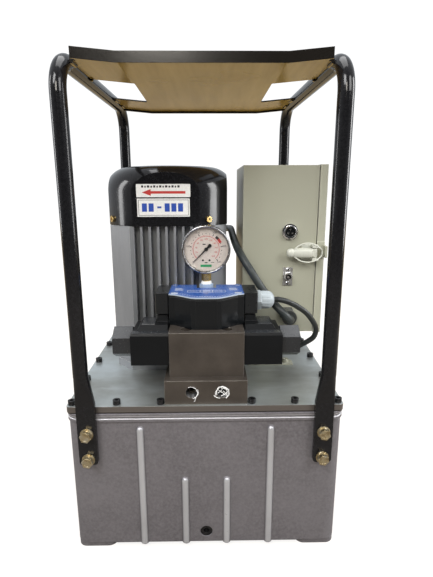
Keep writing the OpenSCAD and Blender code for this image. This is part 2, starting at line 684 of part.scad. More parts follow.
latch_x = 164;
latch_y = 126;
module latch_base() color("whitesmoke") place() {
  box(146, 168, box_y0 - 3, box_y0, 168, 191);
  for (z = [168, 187.3]) box(159, 168, latch_y - 3, box_y0 - 2.9, z, z + 3.7);
  cyl_z(1.5, 168, 191, latch_x, latch_y);
}
// plastic toggle with its wire loop reaching over to the door
module latch_lever() color("whitesmoke") place() {
  difference() {
    union() {
      cyl_z(4.5, 172, 187, latch_x, latch_y);
      box(128, latch_x, latch_y - 4.1, latch_y + 2.5, 172.4, 186.6);
      box(119.5, 129, latch_y - 4, latch_y + 4, 173.5, 185.5);
    }
    cyl_z(1.55, 171, 188, latch_x, latch_y);
    box(132, 154, latch_y - 1.5, latch_y + 3, 174, 185);
  }
  for (z = [166.3, 192.7]) cyl_x(1.1, 147, 175.5, latch_y - 3, z);
  cyl_z(1.35, 164.7, 194.3, 175.5, latch_y - 3);
  cyl_z(1.35, 164.7, 194.3, 147, latch_y - 3);
}

module contactor() color("whitesmoke") place() {
  box(58.5, 62, 160, 270, 90, 280);
  for (y = [165, 220]) box(61.9, 110, y, y + 45, 190, 262);
  box(61.9, 100, 168, 262, 110, 150);
}

module power_connector() color("silver") place() {
  difference() {
    union() {
      cyl_y(11, box_y0 - 3, box_y0, 127.3, 210);
      cyl_y(9.4, box_y0 - 7, box_y0 - 2.9, 127.3, 210);
      cyl_y(8, box_y0 - 0.1, box_y0 + 14, 127.3, 210);
    }
    cyl_y(7.4, box_y0 - 8, box_y0 - 2, 127.3, 210);
  }
  for (a = [90, 210, 330]) cyl_y(1.3, box_y0 - 6, box_y0, 127.3 + 3.6 * cos(a), 210 + 3.6 * sin(a));
}
module signal_connector() color("silver") place() difference() {
  union() {
    box(119, 133.6, box_y0 - 1.5, box_y0, 128, 156);
    cyl_y(6, box_y0 - 9, box_y0 + 12, 126.3, 142);
    for (z = [131.5, 152.5]) cyl_y(2.4, box_y0 - 3, box_y0 - 1.4, 126.3, z);
  }
  cyl_y(4.4, box_y0 - 10, box_y0 - 4, 126.3, 142);
}
module box_glands() color([0.1, 0.1, 0.1]) place() {
  difference() {
    union() {
      translate([127.7, box_y0 - 7, 81.4]) rotate([-90, 0, 0]) cylinder(r = 13, h = 7, $fn = 6);
      cyl_y(11.3, box_y0 - 22, box_y0 - 6.9, 127.7, 81.4);
      cyl_y(9, box_y0 - 0.1, box_y0 + 9, 127.7, 81.4);
    }
    cyl_y(6.1, box_y0 - 23, box_y0 + 10, 127.7, 81.4);
  }
  difference() {
    union() {
      hex_z(18, box_z0 - 5, box_z0, 131, 184);
      cyl_z(8.4, box_z0 - 13, box_z0 - 4.9, 131, 184);
      cyl_z(7, box_z0 - 0.1, box_z0 + 8, 131, 184);
    }
    cyl_z(4.3, box_z0 - 14, box_z0 + 9, 131, 184);
  }
}

// ---------------------------------------------------------------- pump and pipes in the tank

pitch_r = teeth * gear_m / 2;
// involute of the base circle at roll angle t (degrees)
function inv_pt(rb, t) = [rb * (cos(t) + t * PI / 180 * sin(t)), rb * (sin(t) - t * PI / 180 * cos(t))];
function turn(p, a) = [p[0] * cos(a) - p[1] * sin(a), p[0] * sin(a) + p[1] * cos(a)];
module gear2d() {
  pa = 25;
  rb = pitch_r * cos(pa);
  ra = pitch_r + 0.85 * gear_m;
  rr = pitch_r - 1.12 * gear_m;
  roll_a = sqrt(pow(ra / rb, 2) - 1) * 180 / PI;
  inv = tan(pa) * 180 / PI - pa;
  half = 90 / teeth - 0.35 + inv;
  polygon([for (i = [0:teeth - 1]) let (b = 360 * i / teeth) each concat(
    [turn([rr, 0], b - half - 1)],
    [for (k = [0:4]) turn(inv_pt(rb, roll_a * k / 4), b - half)],
    [for (k = [4:-1:0]) let (q = inv_pt(rb, roll_a * k / 4)) turn([q[0], -q[1]], b + half)],
    [turn([rr, 0], b + half + 1)])]);
}
gear_x2 = motor_x + 2 * pitch_r;

module drive_gear() color("gray") place() {
  translate([motor_x, motor_y, gear_z0 + 0.05]) linear_extrude(height = gear_h - 0.1) gear2d();
  cyl_z(8, -121, -36, motor_x, motor_y);
}
module driven_gear() color("gray") place() {
  translate([gear_x2, motor_y, gear_z0 + 0.05]) rotate([0, 0, 180 + 180 / teeth]) linear_extrude(height = gear_h - 0.1) gear2d();
  cyl_z(8, -121, -72, gear_x2, motor_y);
}

pump_c = motor_x + pitch_r;
pump_bolts = [[pump_c - 36, motor_y - 24], [pump_c + 36, motor_y - 24], [pump_c - 36, motor_y + 24], [pump_c + 36, motor_y + 24]];
module pump_body() color("silver") place() difference() {
  union() {
    cyl_z(66, -17, -8, motor_x, motor_y);
    cyl_z(42, -66, -16.9, motor_x, motor_y);
    slab(pump_c - 44, pump_c + 44, motor_y - 32, motor_y + 32, -112, -64, 6);
  }
  cyl_z(34, -62, -7, motor_x, motor_y);
  ra = pitch_r + 0.85 * gear_m + 0.06;
  for (x = [motor_x, gear_x2]) cyl_z(ra, gear_z0 - 1, gear_z0 + gear_h, x, motor_y);
  cyl_z(8.03, -90, -60, motor_x, motor_y);
  cyl_z(8.03, -90, -71, gear_x2, motor_y);
  cyl_y(9.02, motor_y + 8, motor_y + 33, pump_c, -96);
  cyl_y(8.02, motor_y - 33, motor_y - 18.9, pump_c, -99);
  cyl_y(5, motor_y - 19, motor_y - 10, pump_c, -99);
  for (p = pump_xy) cyl_z(4.4, -18, -7, p[0], p[1]);
  for (p = pump_bolts) cyl_z(3.02, -113, -96, p[0], p[1]);
  for (x = [motor_x + 38]) box(x - 8, x + 8, motor_y - 12, motor_y + 12, -60, -20);
}
module pump_cover() color("silver") place() {
  difference() {
    slab(pump_c - 44, pump_c + 44, motor_y - 32, motor_y + 32, -126, -112, 6);
    for (x = [motor_x, gear_x2]) cyl_z(8.03, -122, -111, x, motor_y);
    for (p = pump_bolts) cyl_z(3.3, -127, -111, p[0], p[1]);
  }
  for (p = pump_bolts) {
    cyl_z(5, -131, -126, p[0], p[1]);
    cyl_z(3, -126.1, -98, p[0], p[1]);
  }
  for (p = pump_xy) {
    cyl_z(6.5, -25, -17, p[0], p[1]);
    cyl_z(4, -17.1, -1, p[0], p[1]);
  }
}

module suction_strainer() color("lightgray") place() difference() {
  union() {
    cyl_y(9, motor_y + 24, motor_y + 58, pump_c, -96);
    cyl_z(11, -114, -85, pump_c, motor_y + 60);
    cyl_z(26, -188, -112, pump_c, motor_y + 60);
  }
  cyl_y(6, motor_y + 23, motor_y + 60, pump_c, -96);
  cyl_z(6, -120, -90, pump_c, motor_y + 60);
  cyl_z(23, -186, -116, pump_c, motor_y + 60);
}

module pressure_pipe() color("gray") place() difference() {
  union() {
    cyl_y(8, 82, motor_y - 19, -37.2, -99);
    translate([-37.2, 82, -77]) rotate([180, 90, 0]) rotate_extrude(angle = 90) translate([22, 0]) circle(r = 8);
    cyl_z(8, -77, 7, -37.2, 60);
  }
  cyl_y(5, 82, motor_y - 15, -37.2, -99);
  translate([-37.2, 82, -77]) rotate([180, 90, 0]) rotate_extrude(angle = 90) translate([22, 0]) circle(r = 5);
  cyl_z(5, -77, 8, -37.2, 60);
}
module return_pipe() color("gray") place() difference() {
  cyl_z(8, -170, 7, 30, 79);
  cyl_z(6, -171, 8, 30, 79);
}

module filler_breather() color("dimgray") place() translate([-150, 272, 0]) difference() {
  union() {
    cyl_z(10, -30, 20, 0, 0);
    cyl_z(11, 0, 6, 0, 0);
    cyl_z(11, 19, 42, 0, 0);
  }
  cyl_z(7.5, -31, 36, 0, 0);
}

// ---------------------------------------------------------------- output

reservoir();
drain_plug();
tank_gasket();
cover_plate();
cover_screws();
roll_bar_left();
roll_bar_right();
top_shelf();
frame_bolts();
manifold_block();
plate_screws();
valve_body();
valve_screws();
spool();
armatures();
spring_left();
spring_right();
solenoid_tubes();
coil_left();
coil_right();
coil_nuts();
terminal_box();
terminal_cover();
end_caps();
valve_gland();
valve_cable();
gauge_riser();
gauge_body();
gauge_dial();
gauge_needle();
gauge_lens();
motor_flange();
motor_housing();
stator();
end_shield();
fan_cowl();
cowl_screws();
rotor();
fan();
coupling();
motor_bearings();
motor_junction_box();
motor_cable();
control_box();
box_door();
box_brackets();
latch_base();
latch_lever();
contactor();
power_connector();
signal_connector();
box_glands();
pump_body();
pump_cover();
drive_gear();
driven_gear();
suction_strainer();
pressure_pipe();
return_pipe();
filler_breather();
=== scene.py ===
import json
import math
import random

import bmesh
import bpy
from mathutils import Matrix, Vector


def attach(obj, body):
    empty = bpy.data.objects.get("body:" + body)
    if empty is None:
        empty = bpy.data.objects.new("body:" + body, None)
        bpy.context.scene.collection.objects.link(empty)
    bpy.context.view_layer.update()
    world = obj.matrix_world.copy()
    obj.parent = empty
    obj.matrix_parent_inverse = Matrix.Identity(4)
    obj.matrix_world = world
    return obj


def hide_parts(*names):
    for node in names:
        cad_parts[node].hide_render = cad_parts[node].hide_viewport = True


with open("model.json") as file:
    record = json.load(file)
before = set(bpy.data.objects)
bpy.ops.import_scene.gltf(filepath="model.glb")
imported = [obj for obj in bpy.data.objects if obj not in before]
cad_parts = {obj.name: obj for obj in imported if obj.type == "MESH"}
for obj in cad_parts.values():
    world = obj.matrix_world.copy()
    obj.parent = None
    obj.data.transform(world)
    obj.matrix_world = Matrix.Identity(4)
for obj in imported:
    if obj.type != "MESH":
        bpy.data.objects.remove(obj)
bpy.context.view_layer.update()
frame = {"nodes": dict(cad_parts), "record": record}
NODES = frame["nodes"]
SCENE = bpy.context.scene
COLL = SCENE.collection
RNG = random.Random(7)

PLATE_D = 312.0     # cover plate depth, mm
PLATE_Z = 213.0     # height of the cover plate's top face, mm


def pt(x, y, z):
    """A point given from the cover plate's front top edge in mm, in the row frame in metres."""
    return Vector((x / 1000.0, (y - PLATE_D / 2) / 1000.0, (z + PLATE_Z) / 1000.0))


# ------------------------------------------------------------------ camera

CAMERA_PITCH, CAMERA_YAW, CAMERA_ROLL = 13.19, 0.88, 0.17   # degrees
CAMERA_AT = (4.26, -506.74, 271.18)                         # mm from the plate's front top edge
CAMERA_LENS = 26.86                                         # mm on a 36 mm sensor


def make_camera():
    pitch, yaw, roll = (math.radians(a) for a in (CAMERA_PITCH, CAMERA_YAW, CAMERA_ROLL))
    level = math.cos(pitch)
    fwd = Vector((math.sin(yaw) * level, math.cos(yaw) * level, -math.sin(pitch)))
    right = Vector((math.cos(yaw), -math.sin(yaw), 0))
    down = fwd.cross(right)
    x = math.cos(roll) * right + math.sin(roll) * down
    d = -math.sin(roll) * right + math.cos(roll) * down
    data = bpy.data.cameras.new("camera")
    data.sensor_fit = "AUTO"
    data.sensor_width = 36.0
    data.lens = CAMERA_LENS
    data.shift_x = 0.0035
    data.shift_y = 0.0040
    data.clip_start = 0.02
    cam = bpy.data.objects.new("camera", data)
    m = Matrix((x, -d, -fwd)).transposed().to_4x4()
    m.translation = pt(*CAMERA_AT)
    cam.matrix_world = m
    COLL.objects.link(cam)
    SCENE.camera = cam


# ------------------------------------------------------------------ material kit

class Mat:
    """A node material with short calls for what this scene's finishes need."""

    def __init__(self, name, color=(0.5, 0.5, 0.5), rough=0.5, metal=0.0, **sockets):
        self.m = bpy.data.materials.new(name)
        self.m.use_nodes = True
        self.nt = self.m.node_tree
        self.b = self.nt.nodes["Principled BSDF"]
        self.set("Base Color", (*color, 1))
        self.set("Roughness", rough)
        self.set("Metallic", metal)
        for k, v in sockets.items():
            self.set(k.replace("_", " "), v)
        self.coord = self.nt.nodes.new("ShaderNodeTexCoord").outputs["Object"]
        self.normal = None

    def set(self, k, v):
        self.b.inputs[k].default_value = v

    def link(self, a, b):
        self.nt.links.new(a, b)

    def node(self, kind, **props):
        n = self.nt.nodes.new("ShaderNode" + kind)
        for k, v in props.items():
            setattr(n, k, v)
        return n

    def noise(self, scale, detail=4.0, rough=0.55, stretch=None):
        n = self.node("TexNoise")
        n.inputs["Scale"].default_value = scale
        n.inputs["Detail"].default_value = detail
        n.inputs["Roughness"].default_value = rough
        src = self.coord
        if stretch:
            mp = self.node("Mapping")
            mp.inputs["Scale"].default_value = stretch
            self.link(src, mp.inputs["Vector"])
            src = mp.outputs[0]
        self.link(src, n.inputs["Vector"])
        return n.outputs["Fac"]

    def ramp(self, fac, *stops):
        r = self.node("ValToRGB")
        e = r.color_ramp.elements
        while len(e) < len(stops):
            e.new(0.5)
        for el, (pos, col) in zip(e, stops):
            el.position = pos
            el.color = (*col, 1)
        self.link(fac, r.inputs["Fac"])
        return r.outputs["Color"]

    def mix(self, fac, a, b):
        n = self.node("Mix", data_type="RGBA")
        for sock, v in ((n.inputs[0], fac), (n.inputs[6], a), (n.inputs[7], b)):
            if isinstance(v, bpy.types.NodeSocket):
                self.link(v, sock)
            elif hasattr(v, "__len__"):
                sock.default_value = (*v, 1)
            else:
                sock.default_value = v
        return n.outputs[2]

    def math(self, op, a, b=0.0):
        n = self.node("Math", operation=op)
        for sock, v in zip(n.inputs, (a, b)):
            if isinstance(v, bpy.types.NodeSocket):
                self.link(v, sock)
            else:
                sock.default_value = v
        return n.outputs[0]

    def map(self, fac, a0, a1, b0, b1):
        n = self.node("MapRange")
        for k, v in zip((1, 2, 3, 4), (a0, a1, b0, b1)):
            n.inputs[k].default_value = v
        self.link(fac, n.inputs[0])
        return n.outputs[0]

    def axis(self, i):
        s = self.node("SeparateXYZ")
        self.link(self.coord, s.inputs[0])
        return s.outputs[i]

    def up(self):
        """1 on faces that look up, -1 on faces that look down."""
        g = self.node("NewGeometry")
        s = self.node("SeparateXYZ")
        self.link(g.outputs["Normal"], s.inputs[0])
        return s.outputs[2]

    def edge(self, r):
        """1 along edges within r, 0 on flat faces."""
        bev, geo = self.node("Bevel", samples=4), self.node("NewGeometry")
        dot = self.node("VectorMath", operation="DOT_PRODUCT")
        bev.inputs["Radius"].default_value = r
        self.link(bev.outputs[0], dot.inputs[0])
        self.link(geo.outputs["Normal"], dot.inputs[1])
        return self.map(dot.outputs["Value"], 0.995, 0.93, 0, 1)

    def color(self, sock):
        self.link(sock, self.b.inputs["Base Color"])
        return self

    def rough(self, sock):
        self.link(sock, self.b.inputs["Roughness"])
        return self

    def bevel(self, r):
        n = self.node("Bevel", samples=4)
        n.inputs["Radius"].default_value = r
        self._normal(n)
        return self

    def bump(self, height, dist, strength=1.0):
        n = self.node("Bump")
        n.inputs["Strength"].default_value = strength
        n.inputs["Distance"].default_value = dist
        self.link(height, n.inputs["Height"])
        self._normal(n)
        return self

    def _normal(self, n):
        if self.normal is not None:
            self.link(self.normal, n.inputs["Normal"])
        self.normal = n.outputs["Normal"]
        self.link(self.normal, self.b.inputs["Normal"])


def scaled(color, by):
    return tuple(c * by for c in color)


def cast_metal():
    """Sand-cast aluminium, with a painted highlight on the ribs' crests and painted highlight lines
    on the steps of the tank's lip.
    """
    m = Mat("cast_aluminium", (0.17, 0.16, 0.165), 0.5, 0.55)
    m.bevel(0.0016)
    big, fine, grit = m.noise(9, 3), m.noise(260, 5, 0.7), m.noise(900, 2)
    base = m.ramp(big, (0.3, (0.163, 0.153, 0.166)), (0.7, (0.232, 0.221, 0.238)))
    base = m.mix(m.map(fine, 0.35, 0.72, 0, 0.75), base, (0.31, 0.297, 0.312))
    x, y, z = (m.axis(i) for i in range(3))
    proud_y = m.map(m.math("ABSOLUTE", y), 0.1580, 0.1597, 0, 1)
    proud_x = m.map(m.math("ABSOLUTE", x), 0.1810, 0.1825, 0, 1)
    rib = m.math("MULTIPLY", m.math("MAXIMUM", proud_y, proud_x), m.map(z, 0.184, 0.186, 1, 0))
    # Painted highlight lines along the two steps under the plate.
    upper, lower = (m.math("ABSOLUTE", m.math("SUBTRACT", z, step)) for step in (0.2000, 0.1964))
    rim_highlight = m.math("MAXIMUM", m.map(upper, 0.0003, 0.0010, 1, 0), m.map(lower, 0.0003, 0.0009, 0.7, 0))
    # Painted highlight: the ribs' proud crests are painted pale and made glossier.
    rib_highlight = m.math("MULTIPLY", rib, m.map(big, 0.3, 0.65, 0.75, 1.0))
    m.color(m.mix(rim_highlight, m.mix(rib_highlight, base, (0.66, 0.67, 0.70)), (0.80, 0.80, 0.83)))
    grain = m.map(fine, 0.3, 0.7, 0.42, 0.60)
    m.rough(m.math("SUBTRACT", grain, m.math("MULTIPLY", rib_highlight, 0.16)))
    m.bump(big, 0.0012, 0.35).bump(fine, 0.00035, 0.75).bump(grit, 0.00012, 0.5)
    return m.m


def zinc_plate():
    """Galvanised cover plate: blue-grey and matt, with wiped and oily patches."""
    m = Mat("plate_steel", (0.42, 0.41, 0.39), 0.35, 0.75)
    m.bevel(0.0006)
    smear, wipe = m.noise(6, 5, 0.6, (1, 1.6, 1)), m.noise(22, 4, 0.6, (0.5, 1.6, 1))
    fine = m.noise(160, 4)
    tone = m.ramp(smear, (0.32, (0.30, 0.30, 0.275)), (0.52, (0.46, 0.49, 0.48)),
                  (0.72, (0.60, 0.65, 0.67)))
    flat = m.map(m.up(), 0.5, 0.9, 0, 1)
    top = m.mix(m.map(wipe, 0.55, 0.75, 0, 0.5), tone, (0.70, 0.74, 0.76))
    m.color(m.mix(flat, (0.20, 0.18, 0.165), top))
    m.rough(m.map(smear, 0.25, 0.75, 0.46, 0.28))
    m.bump(m.noise(18, 2), 0.0003, 0.15).bump(fine, 0.00003, 0.3)
    return m.m


def gloss_black():
    """Black lacquer that has flowed a little before it set."""
    color, rough = (0.006, 0.006, 0.007), 0.13
    m = Mat("black_gloss", color, rough, 0.0, Coat_Weight=0.12, Coat_Roughness=0.04,
            Specular_IOR_Level=0.3)
    m.bevel(0.0007)
    n = m.noise(42, 3)
    m.rough(m.map(n, 0.3, 0.7, rough * 0.8, rough * 1.5))
    speck = tuple(c * 1.6 + 0.002 for c in color)
    m.color(m.ramp(m.noise(300, 2), (0.3, color), (0.75, speck)))
    m.bump(n, 0.0004, 0.25)
    return m.m


def black_oxide():
    m = Mat("black_screw", (0.02, 0.02, 0.021), 0.38, 0.6)
    m.bevel(0.0005)
    n = m.noise(500, 3)
    m.color(m.ramp(n, (0.35, (0.012, 0.012, 0.013)), (0.7, (0.045, 0.044, 0.045))))
    m.bump(n, 0.00008, 0.5)
    return m.m


def yellow_zinc():
    m = Mat("yellow_zinc", (0.62, 0.5, 0.3), 0.3, 0.9)
    m.bevel(0.0006)
    n = m.noise(160, 4)
    m.color(m.ramp(n, (0.3, (0.33, 0.25, 0.13)), (0.5, (0.50, 0.42, 0.26)),
                   (0.72, (0.56, 0.52, 0.42))))
    m.rough(m.map(n, 0.3, 0.7, 0.2, 0.4)).bump(n, 0.0001, 0.4)
    return m.m


def cover_print():
    """Blue print on the flat top, bare pale metal on the edges."""
    m = Mat("blue_label", (0.03, 0.10, 0.36), 0.3)
    n = m.noise(500, 2)
    blue = m.ramp(m.noise(25, 3), (0.3, (0.022, 0.085, 0.34)), (0.75, (0.045, 0.125, 0.40)))
    high = m.map(m.axis(2), 0.3474, 0.3477, 0, 1)
    side = m.mix(high, (0.008, 0.009, 0.010), (0.45, 0.52, 0.60))
    m.color(m.mix(m.map(m.up(), 0.8, 0.95, 0, 1), side, blue))
    m.rough(m.map(n, 0.3, 0.7, 0.24, 0.38)).bump(n, 0.00008, 0.4)
    return m.m


def phosphate():
    m = Mat("phosphate_steel", (0.08, 0.068, 0.058), 0.45, 0.5)
    m.bevel(0.0009)
    n, f = m.noise(26, 4), m.noise(420, 4, 0.7)
    body = m.ramp(n, (0.3, (0.066, 0.055, 0.046)), (0.72, (0.104, 0.088, 0.074)))
    # Edges painted pale: partly edge wear, partly painted highlight.
    edge_wear_and_highlight = m.math("MULTIPLY", m.edge(0.0011), m.map(m.noise(90, 4), 0.3, 0.6, 0.35, 1.0))
    m.color(m.mix(edge_wear_and_highlight, body, (0.30, 0.28, 0.25)))
    m.rough(m.map(f, 0.3, 0.7, 0.34, 0.55)).bump(f, 0.00012, 0.6)
    return m.m


def ground_steel():
    m = Mat("ground_steel", (0.55, 0.55, 0.56), 0.3, 1.0)
    n = m.noise(60, 3, 0.6, (1, 1, 30))
    m.color(m.ramp(n, (0.3, (0.42, 0.42, 0.43)), (0.7, (0.62, 0.62, 0.64)))).bump(n, 0.00005, 0.4)
    return m.m


def plastic(name, color, rough=0.45, grain=420, depth=0.00012, edge=0.0006, vary=1.35, **kw):
    m = Mat(name, color, rough, 0.0, **kw)
    m.bevel(edge)
    n = m.noise(grain, 3)
    body = m.ramp(m.noise(14, 3), (0.3, color), (0.75, tuple(min(1, c * vary) for c in color)))
    # Edges painted paler than the body: painted highlight.
    m.color(m.mix(m.edge(edge * 1.4), body, tuple(min(1, c * 1.5 + 0.012) for c in color)))
    m.rough(m.map(n, 0.3, 0.7, rough * 0.85, min(1, rough * 1.2))).bump(n, depth, 0.6)
    return m.m


def powder_coat(name="box_paint", tone=1.0):
    m = Mat(name, (0.36, 0.355, 0.27), 0.42)
    m.bevel(0.0011)
    n, peel = m.noise(5, 2), m.noise(520, 2)
    body = m.ramp(n, (0.25, scaled((0.345, 0.345, 0.268), tone)),
                  (0.75, scaled((0.385, 0.385, 0.305), tone)))
    # Edges painted paler than the body: painted highlight.
    m.color(m.mix(m.edge(0.0013), body, scaled((0.50, 0.50, 0.42), tone)))
    m.rough(m.map(n, 0.3, 0.7, 0.36, 0.46)).bump(peel, 0.00010, 0.5)
    return m.m


def motor_paint():
    m = Mat("motor_grey", (0.24, 0.25, 0.265), 0.42, 0.35)
    m.bevel(0.0009)
    n, f = m.noise(30, 4, 0.6, (1, 1, 0.25)), m.noise(350, 4, 0.7)
    body = m.ramp(n, (0.3, (0.205, 0.213, 0.226)), (0.75, (0.285, 0.292, 0.306)))
    # Edges of the fins and posts painted pale: painted highlight.
    m.color(m.mix(m.math("MULTIPLY", m.edge(0.001), 0.8), body, (0.60, 0.62, 0.64)))
    m.rough(m.map(f, 0.3, 0.7, 0.36, 0.52)).bump(f, 0.00015, 0.6)
    return m.m


def shelf_paint():
    """Gloss black outside; the tray's underside is painted a warm tan-gold, a painted reflection of
    warm surroundings in its black gloss.
    """
    m = Mat("shelf_paint", (0.015, 0.013, 0.011), 0.18, 0.0, Coat_Weight=0.04, Coat_Roughness=0.1,
            Specular_IOR_Level=0.25)
    m.bevel(0.0006)
    n, streak = m.noise(8, 3), m.noise(14, 3, 0.5, (6, 0.6, 1))
    # Painted reflection: the underside's warm colour stands for warm surroundings mirrored in the
    # black gloss.
    warm_reflection = m.mix(m.map(streak, 0.3, 0.7, 0, 1), (0.40, 0.255, 0.045),
                   (0.52, 0.345, 0.085))
    under = m.map(m.up(), -0.9, -0.6, 1, 0)
    m.color(m.mix(under, (0.007, 0.0055, 0.004), warm_reflection))
    m.rough(m.map(n, 0.3, 0.7, 0.16, 0.3)).bump(n, 0.0006, 0.3).bump(m.noise(240, 3), 0.0001, 0.4)
    return m.m


def chrome(name="chrome", color=(0.68, 0.68, 0.69), rough=0.08):
    m = Mat(name, color, rough, 1.0)
    n = m.noise(220, 3)
    m.rough(m.map(n, 0.3, 0.7, rough * 0.7, rough * 1.8))
    m.color(m.ramp(m.noise(40, 2), (0.3, scaled(color, 0.9)), (0.7, scaled(color, 1.12))))
    m.bump(n, 0.00003, 0.3)
    return m.m


def brass():
    m = Mat("brass", (0.7, 0.5, 0.2), 0.26, 1.0)
    m.bevel(0.0005)
    n = m.noise(180, 4)
    m.color(m.ramp(n, (0.3, (0.58, 0.38, 0.13)), (0.7, (0.80, 0.62, 0.30)))).bump(n, 0.00005, 0.4)
    return m.m


def jacket(name="cable_jacket", tone=1.0):
    m = Mat(name, (0.028 * tone, 0.034 * tone, 0.034 * tone), 0.42)
    n = m.noise(300, 3)
    m.color(m.ramp(m.noise(60, 2), (0.3, scaled((0.02, 0.025, 0.025), tone)),
                   (0.7, scaled((0.045, 0.054, 0.054), tone))))
    m.rough(m.map(n, 0.3, 0.7, 0.34, 0.5)).bump(n, 0.00012, 0.5)
    return m.m


def glass():
    m = Mat("clear", (0.97, 0.98, 1.0), 0.03, 0.0, Transmission_Weight=1.0, IOR=1.2)
    m.b.inputs["Alpha"].default_value = 0.22
    m.bump(m.noise(30, 1), 0.00002, 0.1)
    return m.m


def flat_print(name, color, rough=0.4):
    m = Mat(name, color, rough)
    n = m.noise(600, 2)
    m.color(m.ramp(n, (0.3, scaled(color, 0.92)), (0.7, tuple(min(1, c * 1.06) for c in color))))
    m.bump(n, 0.00003, 0.3)
    return m.m


FINISH = {
    "cast_aluminium": cast_metal(),
    "plate_steel": zinc_plate(),
    "black_screw": black_oxide(),
    "black_gloss": gloss_black(),
    "shelf_paint": shelf_paint(),
    "yellow_zinc": yellow_zinc(),
    "gasket_fibre": plastic("gasket_fibre", (0.02, 0.014, 0.01), 0.8),
    "phosphate_steel": phosphate(),
    "ground_steel": ground_steel(),
    "coil_plastic": plastic("coil_plastic", (0.006, 0.0065, 0.0072), 0.40, edge=0.0009,
                            Specular_IOR_Level=0.16),
    "box_plastic": plastic("box_plastic", (0.006, 0.007, 0.008), 0.2, grain=160, depth=0.00001,
                           vary=1.1, edge=0.0008, Specular_IOR_Level=0.3),
    "blue_label": cover_print(),
    "grey_plastic": plastic("grey_plastic", (0.40, 0.45, 0.48), 0.4),
    "cable_jacket": jacket(),
    "chrome": chrome(),
    "dial": flat_print("dial", (0.60, 0.535, 0.48)),
    "needle": flat_print("needle", (0.012, 0.012, 0.012)),
    "clear": glass(),
    "motor_grey": motor_paint(),
    "copper_core": plastic("copper_core", (0.12, 0.07, 0.04), 0.5),
    "box_paint": powder_coat(),
    "pale_plastic": plastic("pale_plastic", (0.56, 0.57, 0.50), 0.3, vary=1.1),
    "gear_steel": ground_steel(),
    "brass": brass(),
}
INK = {
    "black": flat_print("ink_black", (0.02, 0.02, 0.02)),
    "red": flat_print("ink_red", (0.50, 0.035, 0.03)),
    "white": flat_print("ink_white", (0.82, 0.82, 0.80), 0.3),
    "blue": flat_print("ink_blue", (0.02, 0.07, 0.38)),
    "green": flat_print("ink_green", (0.03, 0.30, 0.11)),
    "tape": plastic("ptfe_tape", (0.80, 0.80, 0.78), 0.45, vary=1.05),
    "silver": flat_print("ink_silver", (0.55, 0.57, 0.60), 0.3),
}

# A node's own finish, where it differs from its material slot's.
SPECIAL = {
    "gauge_riser": plastic("riser_paste", (0.24, 0.31, 0.42), 0.35, vary=1.6),
    "power_connector": chrome("connector_metal", (0.62, 0.62, 0.61), 0.3),
    "signal_connector": chrome("switch_metal", (0.66, 0.66, 0.65), 0.3),
    # The door reuses the box's powder coat 1.16 times lighter: painted light on the door.
    "box_door": powder_coat("door_paint_lit", 1.16),
    "box_glands": plastic("gland_black", (0.035, 0.038, 0.038), 0.3, edge=0.001,
                          Specular_IOR_Level=0.6),
    "gauge_body": chrome("gauge_ring", (0.33, 0.33, 0.335), 0.2),
    "valve_cable": jacket("valve_jacket", 0.45),
    "coil_nuts": plastic("nut_plastic", (0.020, 0.022, 0.025), 0.24, depth=0.00005, edge=0.0009,
                         Specular_IOR_Level=0.6),
    "end_caps": plastic("cap_plastic", (0.008, 0.009, 0.010), 0.3, grain=200, depth=0.00002,
                        Specular_IOR_Level=0.4),
}
slot_of = {sub["node"]: sub["material_slot"] for sub in frame["record"]["subparts"]}
for node_name, node_obj in NODES.items():
    node_obj.data.materials.clear()
    node_obj.data.materials.append(SPECIAL.get(node_name) or FINISH[slot_of[node_name]])


# ------------------------------------------------------------------ mesh kit

def finish_mesh(name, bm, mat, body="unit", smooth=35):
    bmesh.ops.recalc_face_normals(bm, faces=bm.faces)
    me = bpy.data.meshes.new(name)
    bm.to_mesh(me)
    bm.free()
    ob = bpy.data.objects.new(name, me)
    COLL.objects.link(ob)
    me.materials.append(mat)
    for p in me.polygons:
        p.use_smooth = True
    me.set_sharp_from_angle(angle=math.radians(smooth))
    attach(ob, body)
    return ob


def add_box(bm, lo, hi, bevel):
    """Adds a box between two row-frame corners, with round edges."""
    lo, hi = Vector(lo), Vector(hi)
    r = bmesh.ops.create_cube(bm, size=1.0)
    vs = r["verts"]
    for v in vs:
        v.co = Vector(((lo[i] + hi[i]) / 2 + v.co[i] * (hi[i] - lo[i]) for i in range(3)))
    es = list({e for v in vs for e in v.link_edges})
    bmesh.ops.bevel(bm, geom=es, offset=bevel, segments=2, affect="EDGES", profile=0.5)


FLUTE_FROM = 11     # mm; a fluted turning stays round inside this radius


def lathe(bm, prof, origin, axis="y", n=64, flute=None):
    """Turns (radius, along) pairs in mm about an axis through origin.

    A profile that ends where it began makes a ring; any other gets flat ends.
    flute scales the outer radii by angle.
    """
    rings = []
    for r, t in prof:
        ring = []
        for k in range(n):
            a = 2 * math.pi * k / n
            q = r * flute(a) if flute and r > FLUTE_FROM else r
            c, s = q * math.cos(a) / 1000, q * math.sin(a) / 1000
            u = t / 1000
            off = {"y": (c, u, s), "x": (u, c, s), "z": (c, s, u)}[axis]
            ring.append(bm.verts.new(origin + Vector(off)))
        rings.append(ring)
    for a, b in zip(rings, rings[1:]):
        for k in range(n):
            bm.faces.new((a[k], a[(k + 1) % n], b[(k + 1) % n], b[k]))
    if prof[0] == prof[-1]:
        bmesh.ops.weld_verts(bm, targetmap=dict(zip(rings[-1], rings[0])))
        return
    for ring, r in ((rings[0], prof[0][0]), (rings[-1], prof[-1][0])):
        if r > 0:
            bm.faces.new(ring)


